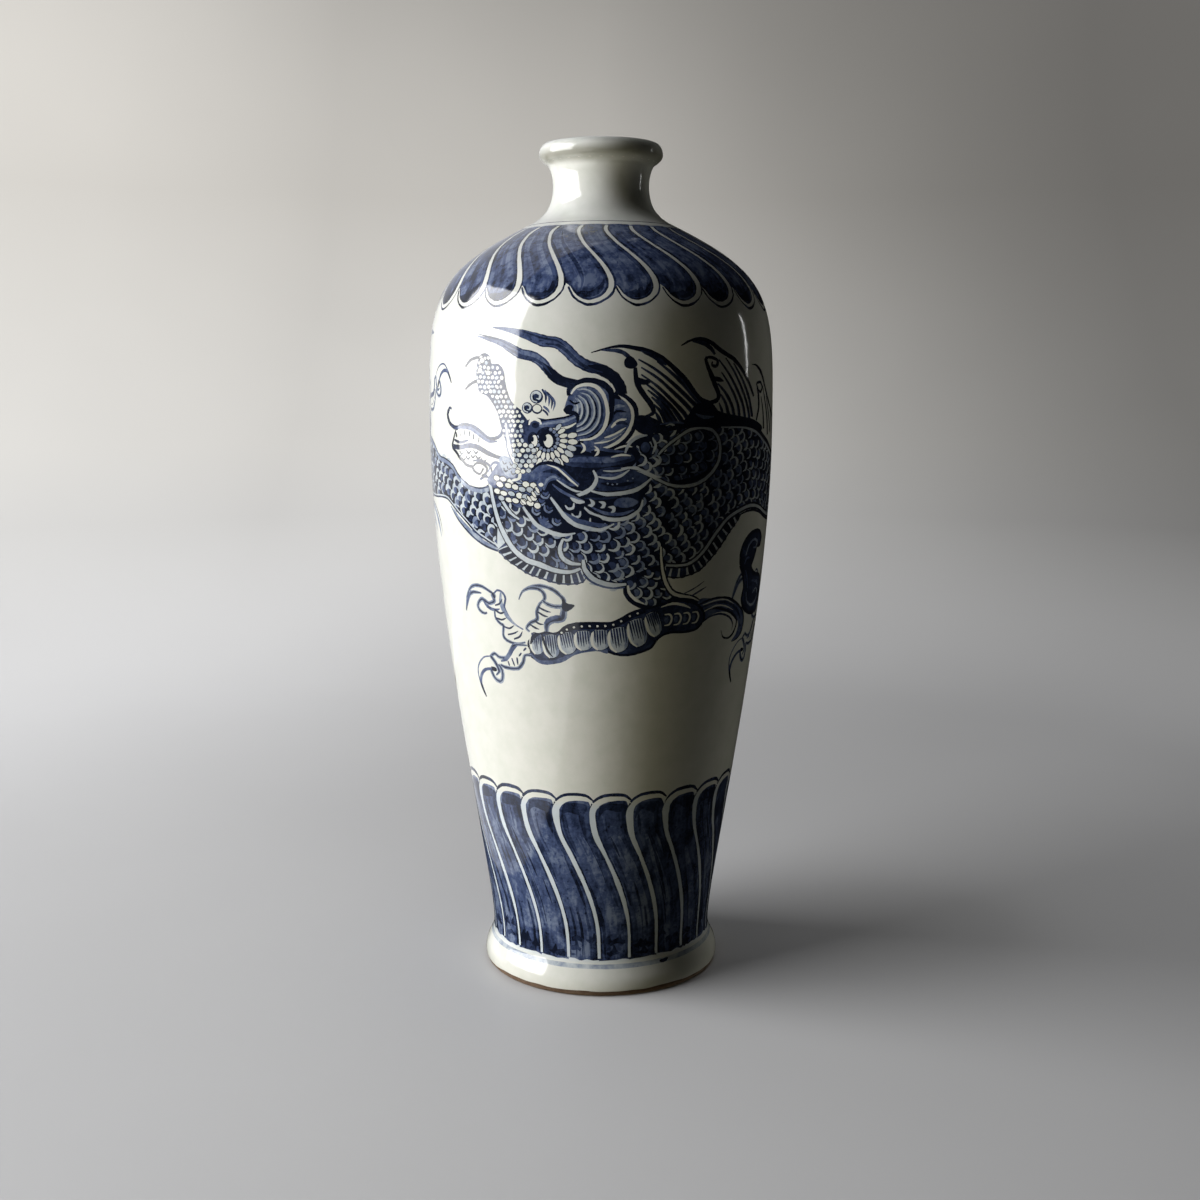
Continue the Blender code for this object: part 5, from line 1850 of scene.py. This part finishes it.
def clay_material(name, low, high, roughness):
    """Bare clay, tinted by height where the glaze ends above it."""
    material, nodes, links, shader = new_material(name)
    where, axes = object_place(nodes, links)
    rise = math_node(nodes, links, "MULTIPLY", axes["Z"], 1 / (BARE_TOP_Z * MM))
    grain = math_node(nodes, links, "SUBTRACT", noise(nodes, links, where, *CLAY_NOISE), 0.5)
    tone = math_node(nodes, links, "ADD", rise, math_node(nodes, links, "MULTIPLY", grain, 1.2))
    links.new(ramp(nodes, links, tone, [(0.05, low), (0.6, high)]), shader.inputs["Base Color"])
    shader.inputs["Roughness"].default_value = roughness
    roughen(nodes, links, shader, noise(nodes, links, where, *CLAY_GRAIN_NOISE), 0.4, 0.0003)
    return material


rim.data.materials.append(clay_material("foot_clay", (0.2, 0.138, 0.092), (0.1, 0.06, 0.038), 0.75))
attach(rim, "root")
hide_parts("foot_ring")

body_clay = clay_material("body_clay", (0.66, 0.61, 0.53), (0.70, 0.66, 0.58), 0.8)
slip_clay = clay_material("slip", (0.72, 0.69, 0.62), (0.76, 0.73, 0.67), 0.85)
for node_name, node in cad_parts.items():
    for slot in node.material_slots:
        slot.material = slip_clay if node_name.startswith("slip") else body_clay


# Stage

FLOOR_FLAT = 0.6
FLOOR_RINGS = (0.2, 0.4, FLOOR_FLAT)
FLOOR_CURVE = 1.15
FLOOR_CURVE_STEPS = 18
FLOOR_WALL_Z = 3.0
FLOOR_SIDES = 96
PAPER = (0.43, 0.43, 0.435)
PAPER_LIGHT = (0.45, 0.45, 0.455)
# Tint and painted shade of the backdrop: a warm tint that darkens up its height in metres, and a darkening
# across it, given as shares of the reach to either side, deepest to the right.
WALL_WARMTH_AND_SHADE = ((0.0, (1.0, 1.0, 1.0)), (0.2, (1.0, 0.977, 0.925)), (0.55, (0.78, 0.748, 0.686)))
WALL_SIDE_SHADE = ((0.06, 0.86), (0.25, 0.8), (0.5, 1.0), (0.75, 0.75), (0.95, 0.51))
WALL_REACH = 0.8
WALL_FADE_Z = 0.12


def sweep():
    """Round floor that curves up into a wall on every side."""
    line = [(radius, 0.0) for radius in FLOOR_RINGS]
    for step in range(1, FLOOR_CURVE_STEPS + 1):
        a = math.radians(90 * step / FLOOR_CURVE_STEPS)
        line.append((FLOOR_FLAT + FLOOR_CURVE * math.sin(a), FLOOR_CURVE * (1 - math.cos(a))))
    line.append((FLOOR_FLAT + FLOOR_CURVE, FLOOR_WALL_Z))
    verts = [(0.0, 0.0, 0.0)]
    for radius, height in line:
        for step in range(FLOOR_SIDES):
            a = math.tau * step / FLOOR_SIDES
            verts.append((radius * math.cos(a), radius * math.sin(a), height))
    faces = [(0, 1 + step, 1 + (step + 1) % FLOOR_SIDES) for step in range(FLOOR_SIDES)]
    for row in range(len(line) - 1):
        first = 1 + row * FLOOR_SIDES
        for step in range(FLOOR_SIDES):
            after = (step + 1) % FLOOR_SIDES
            faces.append((first + step, first + FLOOR_SIDES + step, first + FLOOR_SIDES + after,
                          first + after))
    mesh = bpy.data.meshes.new("floor_sweep")
    mesh.from_pydata(verts, [], faces)
    mesh.shade_smooth()
    floor = bpy.data.objects.new("floor_sweep", mesh)
    bpy.context.collection.objects.link(floor)
    material, nodes, links, shader = new_material("paper")
    where, axes = object_place(nodes, links)
    colour = ramp(nodes, links, noise(nodes, links, where, *PAPER_NOISE), [(0.3, PAPER), (0.7, PAPER_LIGHT)])
    # Painted shade: the wall darkens up its height and towards its sides, most to the right; the side
    # darkening fades out down to the floor.
    warmth_and_shade = ramp(nodes, links, axes["Z"], WALL_WARMTH_AND_SHADE)
    share = math_node(nodes, links, "MULTIPLY", axes["X"], 0.5 / WALL_REACH)
    share = math_node(nodes, links, "ADD", share, 0.5)
    fall = ramp(nodes, links, share, [(place, (value, value, value)) for place, value in WALL_SIDE_SHADE])
    colour = tinted(nodes, links, colour, warmth_and_shade, 1.0)
    colour = tinted(nodes, links, colour, fall,
                    math_node(nodes, links, "MULTIPLY", axes["Z"], 1 / WALL_FADE_Z))
    links.new(colour, shader.inputs["Base Color"])
    shader.inputs["Roughness"].default_value = 0.55
    mesh.materials.append(material)
    floor.visible_diffuse = False
    floor.visible_glossy = False
    floor.visible_shadow = False
    return floor


floor = sweep()


# Lamps near the jar light it alone; the floor has its own, set further off so that it falls away evenly.
jar_only = bpy.data.collections.new("jar_only")
floor_only = bpy.data.collections.new("floor_only")
for piece in (coat, rim):
    jar_only.objects.link(piece)
floor_only.objects.link(floor)

SPOT_SOFTNESS = 0.25


def hang(light, place, target, receivers):
    """Lamp at a place, turned to a target, that lights only the receivers."""
    lamp = bpy.data.objects.new(light.name, light)
    lamp.location = place
    lamp.rotation_euler = (Vector(target) - Vector(place)).to_track_quat("-Z", "Y").to_euler()
    lamp.light_linking.receiver_collection = receivers
    bpy.context.collection.objects.link(lamp)
    return lamp


def area_light(name, place, target, size, power, receivers, colour=(1.0, 1.0, 1.0), shade=True, mirror=True):
    """Rectangular lamp that shades its receivers, is mirrored in them, or both."""
    light = bpy.data.lights.new(name, "AREA")
    light.shape = "RECTANGLE"
    light.size, light.size_y = size
    light.energy = power
    light.color = colour
    lamp = hang(light, place, target, receivers)
    lamp.visible_diffuse = shade
    lamp.visible_glossy = mirror


def spot_light(name, place, target, angle, power):
    """Soft round lamp for the floor and the backdrop."""
    light = bpy.data.lights.new(name, "SPOT")
    light.energy = power
    light.spot_size = math.radians(angle)
    light.spot_blend = 1.0
    light.shadow_soft_size = SPOT_SOFTNESS
    hang(light, place, target, floor_only)


area_light("daylight", (-0.955, -0.297, 0.45), (0, 0, 0.2), (0.4, 0.8), 11.7, jar_only, (0.96, 0.98, 1.12),
           mirror=False)
area_light("room_side", (-0.906, -0.423, 0.05), (0, 0, 0.2), (1.0, 1.0), 7.2, jar_only, (1.0, 0.93, 0.68),
           mirror=False)
area_light("overhead", (-0.55, -0.1, 1.15), (0, 0, 0.3), (0.6, 0.6), 2.2, jar_only, mirror=False)
area_light("bounce", (0.866, 0.5, -0.5), (0, 0, 0.15), (1.0, 0.8), 2.6, jar_only, (1.0, 0.97, 0.85),
           mirror=False)
area_light("back_fill", (0.42, 1.05, 0.72), (0, 0, 0.2), (0.8, 0.8), 3.4, jar_only, mirror=False)
area_light("window", (-0.985, -0.174, 0.57), (0, 0, 0.26), (1.0, 1.0), 21.0, jar_only, shade=False)
area_light("left_wall", (-1.1, 1.2, 1.2), (0, 0, 0.5), (3.0, 3.6), 20.0, jar_only, shade=False)
area_light("floor_glow", (-0.6, -0.1, 0.003), (-0.6, -0.1, 1.0), (0.94, 1.3), 2.9, jar_only, shade=False)
area_light("gap", (0.954, 0.299, 0.46), (0, 0, 0.3), (0.028, 0.28), 0.12, jar_only)
area_light("far_window", (-2.167, -0.383, 0.94), (0, 0, 0.26), (2.2, 2.2), 105.0, floor_only)
area_light("ceiling", (0.4, 0.5, 2.6), (0.2, 0.4, 0.0), (2.0, 2.0), 12.5, floor_only)
spot_light("wall_spot", (-0.78, 0.5, 1.8), (-0.8, 1.28, 0.32), 88.0, 168.0)
spot_light("left_spot", (-0.72, -0.15, 1.6), (-0.72, -0.15, 0.0), 72.0, 54.0)
spot_light("floor_spot", (0.48, 0.52, 1.7), (0.42, 0.5, 0.0), 44.0, 8.0)

ROOM_COLOUR = (0.5, 0.46, 0.38, 1.0)
ROOM_STRENGTH = 0.008
CAMERA_PLACE = (-0.0005, -0.7154, 0.2954)
CAMERA_TILT = math.radians(81.0)
LENS = 43.8
SENSOR = 36.0

world = bpy.data.worlds.new("room")
world.use_nodes = True
background = world.node_tree.nodes["Background"].inputs
background["Color"].default_value = ROOM_COLOUR
background["Strength"].default_value = ROOM_STRENGTH
bpy.context.scene.world = world
bpy.context.scene.view_settings.view_transform = "Standard"

camera = bpy.data.cameras.new("camera")
camera.sensor_width = SENSOR
camera.lens = LENS
eye = bpy.data.objects.new("camera", camera)
eye.location = CAMERA_PLACE
eye.rotation_euler = (CAMERA_TILT, 0.0, 0.0)
bpy.context.collection.objects.link(eye)
bpy.context.scene.camera = eye
